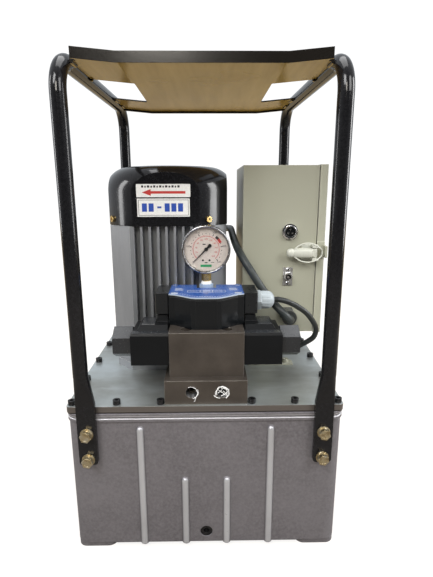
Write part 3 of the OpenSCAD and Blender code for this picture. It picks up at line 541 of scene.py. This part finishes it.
def prism(bm, pts, depth_vec):
    """Closed prism from row-frame points and a thickness vector."""
    lo = [bm.verts.new(p) for p in pts]
    hi = [bm.verts.new(p + depth_vec) for p in pts]
    bm.faces.new(lo)
    bm.faces.new(hi)
    for k in range(len(pts)):
        j = (k + 1) % len(pts)
        bm.faces.new((lo[k], lo[j], hi[j], hi[k]))


def catmull(pts, n):
    """A smooth line through the points, n steps from each to the next."""
    out = []
    for i in range(len(pts) - 1):
        a, b, c, d = pts[max(i - 1, 0)], pts[i], pts[i + 1], pts[min(i + 2, len(pts) - 1)]
        for k in range(n):
            t = k / n
            out.append(0.5 * (2 * b + (c - a) * t + (2 * a - 5 * b + 4 * c - d) * t * t
                              + (3 * b - a - 3 * c + d) * t ** 3))
    out.append(pts[-1])
    return out


def curve_tube(name, pts, r, mat):
    """A cable of the unit, as a round curve through the points."""
    cu = bpy.data.curves.new(name, "CURVE")
    cu.dimensions = "3D"
    cu.bevel_depth = r
    cu.bevel_resolution = 8
    cu.use_fill_caps = True
    sp = cu.splines.new("POLY")
    sp.points.add(len(pts) - 1)
    for p, q in zip(sp.points, pts):
        p.co = (*q, 1)
    sp.use_smooth = True
    ob = bpy.data.objects.new(name, cu)
    COLL.objects.link(ob)
    cu.materials.append(mat)
    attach(ob, "unit")
    return ob


def tube(name, pts, r, mat, body="unit", n=8):
    """A closed round wire through the points, as a mesh."""
    bm = bmesh.new()
    side, rings = None, []
    for i, p in enumerate(pts):
        t = (pts[min(i + 1, len(pts) - 1)] - pts[max(i - 1, 0)]).normalized()
        side = t.orthogonal() if side is None else side - side.dot(t) * t
        side.normalize()
        up = t.cross(side)
        turns = [2 * math.pi * k / n for k in range(n)]
        rings.append([bm.verts.new(p + r * (math.cos(a) * side + math.sin(a) * up)) for a in turns])
    for a, b in zip(rings, rings[1:]):
        for k in range(n):
            bm.faces.new((a[k], a[(k + 1) % n], b[(k + 1) % n], b[k]))
    bm.faces.new(rings[0])
    bm.faces.new(rings[-1])
    return finish_mesh(name, bm, mat, body, smooth=50)


# ------------------------------------------------------------------ cables

# Points in mm from the plate's front top edge. The first two spans and the last lie in the glands.
VALVE_RUN = [
    (60, 80, 120.5), (80, 80, 120.5), (96, 80, 120.5), (105, 80.8, 120), (117, 84.8, 116),
    (131.7, 90, 108), (150.6, 98, 92.8), (166, 110, 69.5), (166.5, 118, 52.5), (159, 124, 42.3),
    (149.4, 130, 34), (141, 139, 24), (135.5, 150, 16.2), (132.5, 161, 12.6), (131.3, 172, 14.6),
    (131, 180, 22), (131, 183.6, 33), (131, 184, 44), (131, 184, 62)]
MOTOR_RUN = [
    (-30, 306, 200), (-14, 306, 200), (0, 306, 200), (11, 305.5, 200.2), (22, 302.4, 201),
    (31.5, 296, 202), (38.5, 287, 203), (43, 276, 203.8), (45, 262, 204.4), (45, 235, 203.2),
    (46, 200, 196), (47.5, 165, 190), (51, 138, 181.5), (58, 122, 169.5), (67, 114.2, 155.5),
    (76, 110.8, 141.5), (84, 107.4, 129.4), (91.8, 103.2, 118.8), (99.3, 98.2, 110.8),
    (106.9, 93, 102.9), (112.6, 91, 97), (118.3, 92.4, 91.1), (123.3, 96.9, 86),
    (126.5, 103.8, 82.6), (127.7, 112, 81.4), (127.7, 120, 81.4), (127.7, 150, 81.4)]
CABLE_STEPS = 6     # steps from one point of a run to the next


def cables():
    """The two leads, on the routes their CAD solids follow, from outlet to outlet."""
    for name, run, r, node in (("valve_cable_skin", VALVE_RUN, 0.004, "valve_cable"),
                               ("motor_cable_skin", MOTOR_RUN, 0.0058, "motor_cable")):
        pts = catmull([pt(*p) for p in run], CABLE_STEPS)[2 * CABLE_STEPS:-CABLE_STEPS]
        ob = curve_tube(name, pts, r, SPECIAL.get(node) or FINISH["cable_jacket"])
        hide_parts(node)


make_camera()
cables()


# ------------------------------------------------------------------ detail pieces

def plate(bm, outline, a, b, plane="y"):
    """A flat plate: outline in (x, z) between two y, or in (x, y) between two z."""
    if plane == "y":
        pts, d = [pt(u, a, v) for u, v in outline], pt(0, b, 0) - pt(0, a, 0)
    else:
        pts, d = [pt(u, v, a) for u, v in outline], pt(0, 0, b) - pt(0, 0, a)
    prism(bm, pts, d)


def rect(x0, x1, z0, z1, r=0.0):
    """A rectangle's outline, with corners of radius r."""
    if not r:
        return [(x0, z0), (x1, z0), (x1, z1), (x0, z1)]
    out = []
    for cx, cz, a0 in ((x1 - r, z0 + r, -90), (x1 - r, z1 - r, 0), (x0 + r, z1 - r, 90),
                       (x0 + r, z0 + r, 180)):
        turns = [math.radians(a0 + k * 22.5) for k in range(5)]
        out += [(cx + r * math.cos(a), cz + r * math.sin(a)) for a in turns]
    return out


def disc(cx, cz, r, n=20):
    turns = [2 * math.pi * k / n for k in range(n)]
    return [(cx + r * math.cos(a), cz + r * math.sin(a)) for a in turns]


def sector(cx, cz, r0, r1, a0, a1, n=12):
    """Part of a ring; angles clockwise from the top in degrees."""
    ks = [math.radians(a0 + (a1 - a0) * k / n) for k in range(n + 1)]
    return ([(cx + r1 * math.sin(a), cz + r1 * math.cos(a)) for a in ks]
            + [(cx + r0 * math.sin(a), cz + r0 * math.cos(a)) for a in reversed(ks)])


def number(bm, text, size, cx, cz, y):
    """A number on the dial, its middle at (cx, cz) and its back at y."""
    cu = bpy.data.curves.new("number", "FONT")
    cu.body, cu.size, cu.extrude = text, size, 0.02
    cu.align_x = cu.align_y = "CENTER"
    ob = bpy.data.objects.new("number", cu)
    me = ob.to_mesh()
    vs = [bm.verts.new(pt(cx + v.co.x, y - v.co.z, cz + v.co.y)) for v in me.vertices]
    for f in me.polygons:
        if len(set(f.vertices)) > 2:
            try:
                bm.faces.new([vs[i] for i in f.vertices])
            except ValueError:
                pass
    ob.to_mesh_clear()
    bpy.data.objects.remove(ob)
    bpy.data.curves.remove(cu)
    bmesh.ops.remove_doubles(bm, verts=vs, dist=1e-7)


GX, GZ = 2.0, 191.0      # middle of the gauge
DIAL_Y = 88.8            # front of the dial
STEM_Y = 99              # axis of the stem under the gauge
DIAL_START = -135        # degrees from the top to the first mark


def gauge():
    """Turned case and ring, brass stem with sealing tape, and the dial's generic print."""
    bm = bmesh.new()
    lathe(bm, [(0, 109), (26, 109), (29.5, 108.2), (31.4, 106.4), (32, 104), (32, 92.4),
               (32.8, 91.8), (33.7, 90.8), (34, 89.4), (34, 85), (33.8, 83.6), (33.2, 82.6),
               (32.3, 82.05), (31.6, 82.1), (30.95, 82.6), (30.65, 83.4), (30.5, 84.6),
               (30.5, 90.05), (0, 90.05)], pt(GX, 0, GZ), "y", 96)
    case = finish_mesh("gauge_case", bm, SPECIAL["gauge_body"], smooth=40)
    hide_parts("gauge_body")
    bm = bmesh.new()
    stem = pt(GX, STEM_Y, 0)
    lathe(bm, [(0, 144.2), (5.8, 144.2), (6.8, 145), (6.8, 157.6), (5.9, 158.4), (0, 158.4)],
          stem, "z", 6)
    lathe(bm, [(0, 158.2), (4.6, 158.2), (4.6, 161), (0, 161)], stem, "z", 24)
    finish_mesh("gauge_stem", bm, FINISH["brass"], smooth=25)
    bm = bmesh.new()
    lathe(bm, [(0, 140.1), (7.6, 140.1), (7.9, 141), (7.2, 142), (7.5, 143), (6.6, 144.1),
               (0, 144.1)], stem, "z", 20)
    for v in bm.verts:
        v.co += Vector((RNG.uniform(-1, 1), RNG.uniform(-1, 1), RNG.uniform(-1, 1))) * 0.00035
    finish_mesh("stem_tape", bm, INK["tape"], smooth=60)

    y0, y1 = DIAL_Y - 0.05, DIAL_Y + 0.02
    black, red = bmesh.new(), bmesh.new()
    for k in range(21):
        a = DIAL_START + 13.5 * k
        dx, dz = math.sin(math.radians(a)), math.cos(math.radians(a))
        if k % 4 == 0:
            plate(black, sector(GX, GZ, 20.2, 23.0, a - 1.5, a + 1.5, 2), y0, y1)
            number(black, str(20 * k // 4 * 5), 4.0, GX + 25.6 * dx, GZ + 25.6 * dz, y0)
        if k % 2 == 0:
            number(red, str(k * 10), 3.3, GX + 13.9 * dx, GZ + 13.9 * dz, y0)
        if k % 4:
            plate(black, disc(GX + 21.6 * dx, GZ + 21.6 * dz, 0.62, 8), y0, y1)
    for k in range(55):
        a = DIAL_START + 5 * k
        plate(red, sector(GX, GZ, 17.9, 19.0 if k % 5 else 19.6, a - 1.1, a + 1.1, 2), y0, y1)
    plate(red, sector(GX, GZ, 17.6, 17.85, DIAL_START, -DIAL_START, 60), y0, y1)
    plate(red, sector(GX, GZ, 19.8, 23.6, 50, 66, 5), y0, y1)
    plate(black, sector(GX, GZ, 19.8, 23.6, 38, 50, 4), y0, y1)
    for x in (-4.6, 4.6):
        plate(black, disc(GX + x, GZ - 15.6, 1.5, 14), y0, y1)
    plate(black, rect(GX - 2.2, GX + 2.0, GZ - 19.6, GZ - 18.2), y0, y1)
    plate(black, rect(GX - 5.0, GX - 0.8, GZ + 6.2, GZ + 7.6), y0, y1)
    plate(black, rect(GX + 6.5, GX + 11.5, GZ - 18.9, GZ - 18.2), y0, y1)
    finish_mesh("dial_scale_black", black, INK["black"])
    finish_mesh("dial_scale_red", red, INK["red"])
    bm = bmesh.new()
    plate(bm, rect(GX - 8, GX + 7.6, GZ - 25, GZ - 21.6), y0, y1)
    finish_mesh("dial_mark_green", bm, INK["green"])


COWL_Y = 111.6           # front flat of the fan cowl


def cowl_labels():
    """Two pale labels with an arrow, plain bars and plain blocks."""
    bm = bmesh.new()
    plate(bm, rect(-95.2, -19.6, 261.5, 279.4, 0.8), COWL_Y - 0.3, COWL_Y + 0.02)
    plate(bm, rect(-94.7, -20.7, 234.5, 259.7, 0.8), COWL_Y - 0.3, COWL_Y + 0.02)
    finish_mesh("cowl_labels", bm, INK["white"])
    front, back = COWL_Y - 0.36, COWL_Y - 0.28
    bm = bmesh.new()
    plate(bm, [(-87.5, 268), (-75, 263.4), (-75, 266.3), (-26.5, 266.3), (-26.5, 269.8),
               (-75, 269.8), (-75, 272.6)], front, back)
    finish_mesh("label_arrow", bm, INK["red"])
    bm = bmesh.new()
    for frame_side in ((-92.9, -22.5, 236.2, 236.8), (-92.9, -22.5, 257.4, 258),
                       (-92.9, -92.3, 236.7, 257.5), (-23.1, -22.5, 236.7, 257.5)):
        plate(bm, rect(*frame_side), front, back)
    x = -88
    for k, w in enumerate((3, 2, 3.4, 2.4, 3, 2.2, 3.2, 2, 3.4, 2.6, 3, 2.2, 3.2)):
        plate(bm, rect(x, x + w, 274.6, 277.6 - 0.5 * (k % 2)), front, back)
        x += w + 1.5
    finish_mesh("label_lines", bm, INK["black"])
    bm = bmesh.new()
    for block in ((-88, -81, 241.5, 253), (-78.6, -71.6, 241.5, 253), (-66.5, -60.5, 246.2, 248.8),
                  (-56, -49, 241.5, 253), (-46.6, -39.6, 241.5, 253), (-37.2, -30.2, 241.5, 253)):
        plate(bm, rect(*block), front, back)
    finish_mesh("label_blocks", bm, INK["blue"])


def terminal_outline(o):
    """The terminal box's cover from above, drawn in by o."""
    right = [(16, 30 + o), (22, 32 + o), (33, 41 + o), (44, 50 + o), (52.8 - o, 53 + o),
             (52.8 - o, 110 - o), (16 + o, 110 - o), (16 + o, 89 - o)]
    left = [(-12, 30 + o), (-18, 32 + o), (-29, 41 + o), (-40, 50 + o), (-48.7 + o, 53 + o),
            (-48.7 + o, 110 - o), (-12 - o, 110 - o), (-12 - o, 89 - o)]
    return right + left[::-1]


def terminal_print():
    """Blue cover with plain white lines."""
    bm = bmesh.new()
    plate(bm, terminal_outline(1.5), 135.98, 136.35, "z")
    finish_mesh("terminal_label", bm, FINISH["blue_label"])
    bm = bmesh.new()
    z0, z1 = 136.3, 136.42
    for k in range(22):
        x = -34 + 3.3 * k
        y = 35.5 + max(0, abs(x - 2) - 15) * 0.78
        plate(bm, rect(x, x + 2.1, y, y + 1.1), z0, z1, "z")
    for line in ((-24, 28, 60, 60.7), (-24, 28, 72, 72.7), (-24, -23.3, 60, 72.7),
                 (-6.9, -6.2, 60, 72.7), (10.2, 10.9, 60, 72.7), (27.3, 28, 60, 72.7),
                 (-20, -10, 66, 66.7), (-3, 7, 63, 63.7), (-3, 7, 69, 69.7), (14, 24, 66, 66.7)):
        plate(bm, rect(*line), z0, z1, "z")
    for x0 in (-42, 34):
        for k in range(4):
            plate(bm, rect(x0, x0 + 12 - 2 * (k % 2), 72 + 4 * k, 73 + 4 * k), z0, z1, "z")
    finish_mesh("terminal_print", bm, INK["white"])


PORT_A_X, PORT_B_X, PORT_Z = -18, 22, 16.5


def tape(name, cx, strands):
    """Loose white sealing tape at the mouth of a port.

    A strand is (first angle, last angle, first radius, last radius, thickness).
    """
    for i, (a0, a1, r0, r1, w) in enumerate(strands):
        n = 14
        pts = []
        for k in range(n + 1):
            a = math.radians(a0 + (a1 - a0) * k / n)
            r = r0 + (r1 - r0) * k / n + RNG.uniform(-0.5, 0.5)
            pts.append(pt(cx + r * math.sin(a), 4.4 - w * 0.35 + RNG.uniform(-0.25, 0.1),
                          PORT_Z + r * math.cos(a)))
        tube(f"{name}_{i}", catmull(pts, 3), w / 1000, INK["tape"])


def ports():
    """Tape strands at both ports, some across the right one's mouth, and the threads inside, in black
    as painted shade in the bores.
    """
    tape("tape_a", PORT_A_X, [(20, 150, 7.9, 8.0, 0.55), (60, 170, 8.9, 8.3, 0.4),
                              (-30, 20, 8.0, 7.9, 0.3), (140, 165, 8.3, 13.0, 0.35)])
    tape("tape_b", PORT_B_X, [(-110, 60, 8.1, 7.9, 0.75), (-60, 130, 7.2, 8.9, 0.5),
                              (40, 150, 8.4, 8.6, 0.7), (-120, -60, 9.5, 7.6, 0.5),
                              (200, 250, 8.6, 11.5, 0.5), (-20, 120, 6.4, 6.2, 0.45)])
    for i, (p, q) in enumerate((((-5, 3), (4, -4)), ((-2, -5), (6, 1)), ((-6, -1), (0, 6)),
                                ((1, 2), (6, -5)))):
        m = ((p[0] + q[0]) / 2 + 1.2, (p[1] + q[1]) / 2 - 0.8)
        run = [pt(PORT_B_X + u, y, PORT_Z + v) for (u, v), y in ((p, 4.7), (m, 5.4), (q, 4.6))]
        tube(f"tape_c_{i}", catmull(run, 5), 0.0005, INK["tape"])
    prof = [(7.5, 5.0)]
    for k in range(9):
        prof += [(6.75, 5.6 + 1.34 * k), (7.45, 6.27 + 1.34 * k)]
    prof += [(7.5, 17.2), (7.5, 5.0)]
    # The threads get black ink: painted shade deep in the ports.
    for name, cx in (("port_thread_a", PORT_A_X), ("port_thread_b", PORT_B_X)):
        bm = bmesh.new()
        lathe(bm, prof, pt(cx, 0, PORT_Z), "y", 40)
        finish_mesh(name, bm, INK["black"], smooth=20)


LATCH_Z = 179.5          # middle of the toggle
LATCH_BACK = 128.2       # y of the toggle's back edge
# The toggle's sections: x, half height, y of its front.
LATCH_SECTIONS = ((121.5, 2.6, 124.6), (122.2, 4.4, 123.4), (124, 5.8, 122.4), (127, 6.4, 122.0),
                  (130, 6.5, 121.9), (131.4, 6.0, 123.0), (132.6, 6.2, 122.6), (134, 7.0, 121.9),
                  (142, 7.3, 121.6), (152, 7.4, 121.7), (157, 7.2, 122.0), (159.5, 6.6, 122.8),
                  (160.2, 5.6, 124.2))
LATCH_ARC = 15           # points across a section


def latch():
    """Moulded toggle with its wire loop."""
    bm = bmesh.new()
    rings = []
    for x, h, f in LATCH_SECTIONS:
        ring = []
        for k in range(LATCH_ARC):
            a = math.pi * k / (LATCH_ARC - 1)
            y = LATCH_BACK - (LATCH_BACK - f) * math.sin(a) ** 0.6
            ring.append(bm.verts.new(pt(x, y, LATCH_Z - h * math.cos(a))))
        rings.append(ring)
    for a, b in zip(rings, rings[1:]):
        for k in range(LATCH_ARC):
            j = (k + 1) % LATCH_ARC
            bm.faces.new((a[k], a[j], b[j], b[k]))
    bm.faces.new(rings[0])
    bm.faces.new(rings[-1])
    add_box(bm, pt(158, 124.4, 173.2), pt(166.5, 128, 185.8), 0.001)
    lever = finish_mesh("latch_toggle", bm, FINISH["pale_plastic"], "latch_group", 50)
    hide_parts("latch_lever")
    loop = [(133, 185.5), (138, 190), (145, 193.2), (153, 194.3), (161, 192.6), (168, 188.4),
            (172.5, 184.5), (173.4, 180), (172.5, 175.5), (168, 171), (161, 167.4), (153, 166),
            (145, 167), (138, 170), (133, 174)]
    run = catmull([pt(x, 123.6 if x > 140 else 124.6, z) for x, z in loop], 4)
    tube("latch_wire", run, 0.0011, FINISH["pale_plastic"], "latch_group", 12)


POWER_X, POWER_Z = 127.3, 210       # middle of the three-pin connector
SIGNAL_X, SIGNAL_Z = 126.3, 142     # middle of the two-screw connector
SIGNAL_SCREWS = (131.5, 152.5)      # z of its screws


def connectors():
    """Insert, pins and ring of the upper connector; nut, lever and screws of the lower one."""
    bm = bmesh.new()
    lathe(bm, [(0, 134.6), (6.9, 134.6), (7.3, 135.0), (7.3, 138.02), (0, 138.02)],
          pt(POWER_X, 0, POWER_Z), "y", 48)
    plate(bm, rect(126.3, 128.3, 215.6, 217.6), 133.6, 135)
    finish_mesh("power_insert", bm, FINISH["box_plastic"])
    bm = bmesh.new()
    for a in (90, 210, 330):
        cx, cz = POWER_X + 3.6 * math.cos(math.radians(a)), POWER_Z + 3.6 * math.sin(math.radians(a))
        lathe(bm, [(0, 133.2), (0.9, 133.3), (1.2, 133.8), (1.2, 136), (0, 136)],
              pt(cx, 0, cz), "y", 16)
    lathe(bm, [(7.5, 132.9), (7.9, 132.3), (9.0, 132.2), (9.6, 132.8), (9.7, 136.4), (11.6, 136.7),
               (12.0, 137.4), (12.0, 139.9), (11.2, 139.95), (7.5, 139.95), (7.5, 132.9)],
          pt(POWER_X, 0, POWER_Z), "y", 64)
    finish_mesh("power_ring", bm, FINISH["chrome"], smooth=30)
    bm = bmesh.new()
    lathe(bm, [(4.3, 139.9), (7.4, 139.9), (7.8, 139.4), (7.8, 136.6), (7.3, 136.1), (4.3, 136.1),
               (4.3, 139.9)], pt(SIGNAL_X, 0, SIGNAL_Z), "y", 6)
    lathe(bm, [(0, 132.4), (1.6, 132.6), (2.3, 133.6), (1.9, 134.8), (1.3, 136.4), (1.3, 139),
               (0, 139)], pt(SIGNAL_X, 0, SIGNAL_Z), "y", 20)
    bmesh.ops.remove_doubles(bm, verts=bm.verts, dist=1e-7)
    for z in SIGNAL_SCREWS:
        lathe(bm, [(0, 136.6), (1.8, 136.7), (2.7, 137.3), (2.9, 138.4), (0, 138.4)],
              pt(SIGNAL_X, 0, z), "y", 20)
    finish_mesh("signal_nut", bm, FINISH["chrome"], smooth=30)
    bm = bmesh.new()
    for z in SIGNAL_SCREWS:
        plate(bm, rect(124.2, 128.4, z - 0.35, z + 0.35), 136.5, 136.9)
        plate(bm, rect(125.95, 126.65, z - 2.0, z + 2.0), 136.48, 136.88)
    lathe(bm, [(0, 134.9), (4.3, 134.9), (4.3, 136.3), (0, 136.3)],
          pt(SIGNAL_X, 0, SIGNAL_Z), "y", 24)
    finish_mesh("signal_slots", bm, FINISH["black_screw"])


def taper(bm, lo, hi, z0, z1):
    """A block with its own outline (x0, x1, y0, y1) at each end."""
    rings = []
    for (x0, x1, y0, y1), z in ((lo, z0), (hi, z1)):
        rings.append([bm.verts.new(pt(x, y, z)) for x, y in ((x0, y0), (x1, y0), (x1, y1), (x0, y1))])
    bm.faces.new(rings[0])
    bm.faces.new(rings[1])
    for k in range(4):
        bm.faces.new((rings[0][k], rings[0][(k + 1) % 4], rings[1][(k + 1) % 4], rings[1][k]))


VALVE_X = 2.0            # middle of the valve, between the coils
SHOULDER_Z = 88          # where a coil's sides give way to its shoulder


def coils():
    """Moulded coil with a raised back, a paler pad and its plug block; the right one is turned."""
    for side in ("left", "right"):
        def o(x0, x1, y0, y1):
            if side == "right":
                x0, x1 = 2 * VALVE_X - x1, 2 * VALVE_X - x0
            return x0, x1, y0, y1
        bm = bmesh.new()
        foot = o(-97, -47.05, 20, 80)
        taper(bm, foot, foot, 48, SHOULDER_Z)
        taper(bm, foot, o(-95.6, -47.05, 21.6, 78.8), SHOULDER_Z, 91)
        bmesh.ops.remove_doubles(bm, verts=bm.verts, dist=1e-6)
        level = pt(0, 0, SHOULDER_Z).z
        inner = [f for f in bm.faces if abs(f.calc_center_median().z - level) < 1e-5]
        bmesh.ops.delete(bm, geom=inner, context="FACES_ONLY")
        taper(bm, o(-90, -49.6, 34.5, 79), o(-86, -49.6, 40, 77), 90.9, 97)
        taper(bm, o(-66, -50, 56, 76.5), o(-65, -51, 57.5, 75.5), 96.9, 105)
        coil = finish_mesh("coil_shell_" + side, bm, FINISH["coil_plastic"],
                           smooth=20)
        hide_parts("coil_" + side)
        bm = bmesh.new()
        taper(bm, o(-85, -66.8, 41.6, 76), o(-84.6, -67.2, 42.2, 75.4), 96.9, 97.8)
        taper(bm, o(-94.6, -47.6, 22.4, 33.8), o(-94.6, -47.6, 22.4, 33.4), 90.9, 91.25)
        finish_mesh("coil_pad_" + side, bm, SPECIAL["coil_nuts"])


def gland_cap():
    """Domed cable gland with a grooved cap over its hexagon."""
    at = pt(0, 80, 120.5)
    bm = bmesh.new()
    lathe(bm, [(4.3, 62), (9, 62), (9, 71.6), (4.3, 71.6), (4.3, 62)], at, "x", 40)
    lathe(bm, [(4.3, 71.5), (13.4, 71.5), (14.3, 72.4), (14.3, 77.6), (13.4, 78.5), (4.3, 78.5),
               (4.3, 71.5)], at, "x", 6)
    lathe(bm, [(4.3, 78.4), (12.0, 78.4), (12.6, 79.2), (12.6, 87.6), (12.3, 89.6), (11.4, 91.8),
               (9.9, 93.8), (8.0, 95.4), (6.4, 96.4), (4.9, 96.9), (4.3, 96.9), (4.3, 78.4)],
          at, "x", 112, lambda a: 1 - 0.045 * max(0.0, math.cos(14 * a)) ** 3)
    cap = finish_mesh("gland_cap", bm, FINISH["grey_plastic"], smooth=30)
    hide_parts("valve_gland")


def cover_screws():
    """Flat screw heads and two small clips on the terminal box's cover."""
    bm = bmesh.new()
    for x in (-43, 47):
        for y in (58, 104):
            lathe(bm, [(0, 136.3), (3.3, 136.3), (3.3, 137.0), (2.6, 137.38), (0, 137.4)],
                  pt(x, y, 0), "z", 24)
    finish_mesh("cover_screw_heads", bm, SPECIAL["signal_connector"], smooth=30)
    bm = bmesh.new()
    y = 55.2
    for x in (-40.5, 44.5):
        taper(bm, (x - 4.6, x + 4.6, y - 2.0, y + 0.6), (x - 4.4, x + 4.4, y - 1.8, y + 0.4),
              136.2, 137.2)
    finish_mesh("cover_clips", bm, INK["silver"])


gauge()
cowl_labels()
terminal_print()
ports()
latch()
connectors()
coils()
gland_cap()
cover_screws()


# ------------------------------------------------------------------ light and floor

# Name, place, what it faces, size in metres, power in watts, colour.
LIGHTS = (
    ("key", (-0.9, -1.5, 1.9), (0, 0, 0.3), (0.9, 0.9), 34, (1, 1, 1)),
    ("fill", (1.2, -1.4, 1.5), (0, 0, 0.3), (0.8, 1.0), 20, (1, 1, 1)),
    ("top", (0, 0.1, 2.1), (0, 0, 0.3), (1.2, 1.2), 16, (1, 1, 1)),
    ("strip_left", (-1.4, 0.0, 0.8), (0, 0, 0.5), (0.25, 1.0), 6, (1, 1, 1)),
    ("front", (-0.2, -1.7, 1.3), (0.05, 0, 0.35), (0.3, 0.5), 9, (1.0, 0.95, 0.86)),
    ("strip_right", (1.4, -0.1, 0.75), (0, 0, 0.5), (0.4, 1.0), 13, (1, 1, 1)),
)


def softbox(name, loc, target, size, power, color):
    d = bpy.data.lights.new(name, "AREA")
    d.shape = "RECTANGLE"
    d.size, d.size_y = size
    d.energy = power
    d.color = color
    o = bpy.data.objects.new(name, d)
    o.location = loc
    o.rotation_euler = (Vector(target) - Vector(loc)).to_track_quat("-Z", "Y").to_euler()
    COLL.objects.link(o)


def studio():
    """Soft boxes, a grey world and a paper floor that reads white to the camera."""
    SCENE.view_settings.view_transform = "Standard"
    w = bpy.data.worlds.new("studio")
    SCENE.world = w
    w.use_nodes = True
    nt = w.node_tree
    bg = nt.nodes["Background"]
    tc = nt.nodes.new("ShaderNodeTexCoord")
    sep = nt.nodes.new("ShaderNodeSeparateXYZ")
    nt.links.new(tc.outputs["Generated"], sep.inputs[0])
    r = nt.nodes.new("ShaderNodeValToRGB")
    mr = nt.nodes.new("ShaderNodeMapRange")
    mr.inputs[1].default_value, mr.inputs[2].default_value = -1, 1
    nt.links.new(sep.outputs[1], mr.inputs[0])
    nt.links.new(mr.outputs[0], r.inputs[0])
    e = r.color_ramp.elements
    e.new(0.5)
    e[0].position, e[0].color = 0.05, (0.05, 0.05, 0.05, 1)
    e[1].position, e[1].color = 0.5, (0.62, 0.63, 0.66, 1)
    e[2].position, e[2].color = 0.95, (0.62, 0.66, 0.70, 1)
    lp = nt.nodes.new("ShaderNodeLightPath")
    mx = nt.nodes.new("ShaderNodeMix")
    mx.data_type = "RGBA"
    nt.links.new(lp.outputs["Is Camera Ray"], mx.inputs[0])
    nt.links.new(r.outputs[0], mx.inputs[6])
    mx.inputs[7].default_value = (1.05, 1.05, 1.05, 1)
    nt.links.new(mx.outputs[2], bg.inputs[0])
    bg.inputs[1].default_value = 1.0
    for light in LIGHTS:
        softbox(*light)
    bm = bmesh.new()
    bmesh.ops.create_grid(bm, x_segments=1, y_segments=1, size=6)
    me = bpy.data.meshes.new("floor")
    bm.to_mesh(me)
    bm.free()
    fl = bpy.data.objects.new("floor", me)
    COLL.objects.link(fl)
    m = Mat("floor_paper", (0.3, 0.3, 0.3), 0.8)
    seen = m.node("LightPath").outputs["Is Camera Ray"]
    m.color(m.mix(m.noise(3, 2), (0.20, 0.18, 0.155), (0.24, 0.215, 0.19)))
    square = m.math("ADD", m.math("POWER", m.axis(0), 2), m.math("POWER", m.axis(1), 2))
    far = m.map(m.math("POWER", square, 0.5), 0.35, 1.4, 0.82, 1.0)
    behind = m.map(m.axis(1), 0.15, 0.7, 0, 1)
    bounce = m.mix(behind, (0.0, 0.0, 0.0), (0.44, 0.33, 0.17))
    m.link(m.mix(seen, bounce, far), m.b.inputs["Emission Color"])
    m.set("Emission Strength", 1.0)
    m.set("Specular IOR Level", 0.0)
    me.materials.append(m.m)


studio()
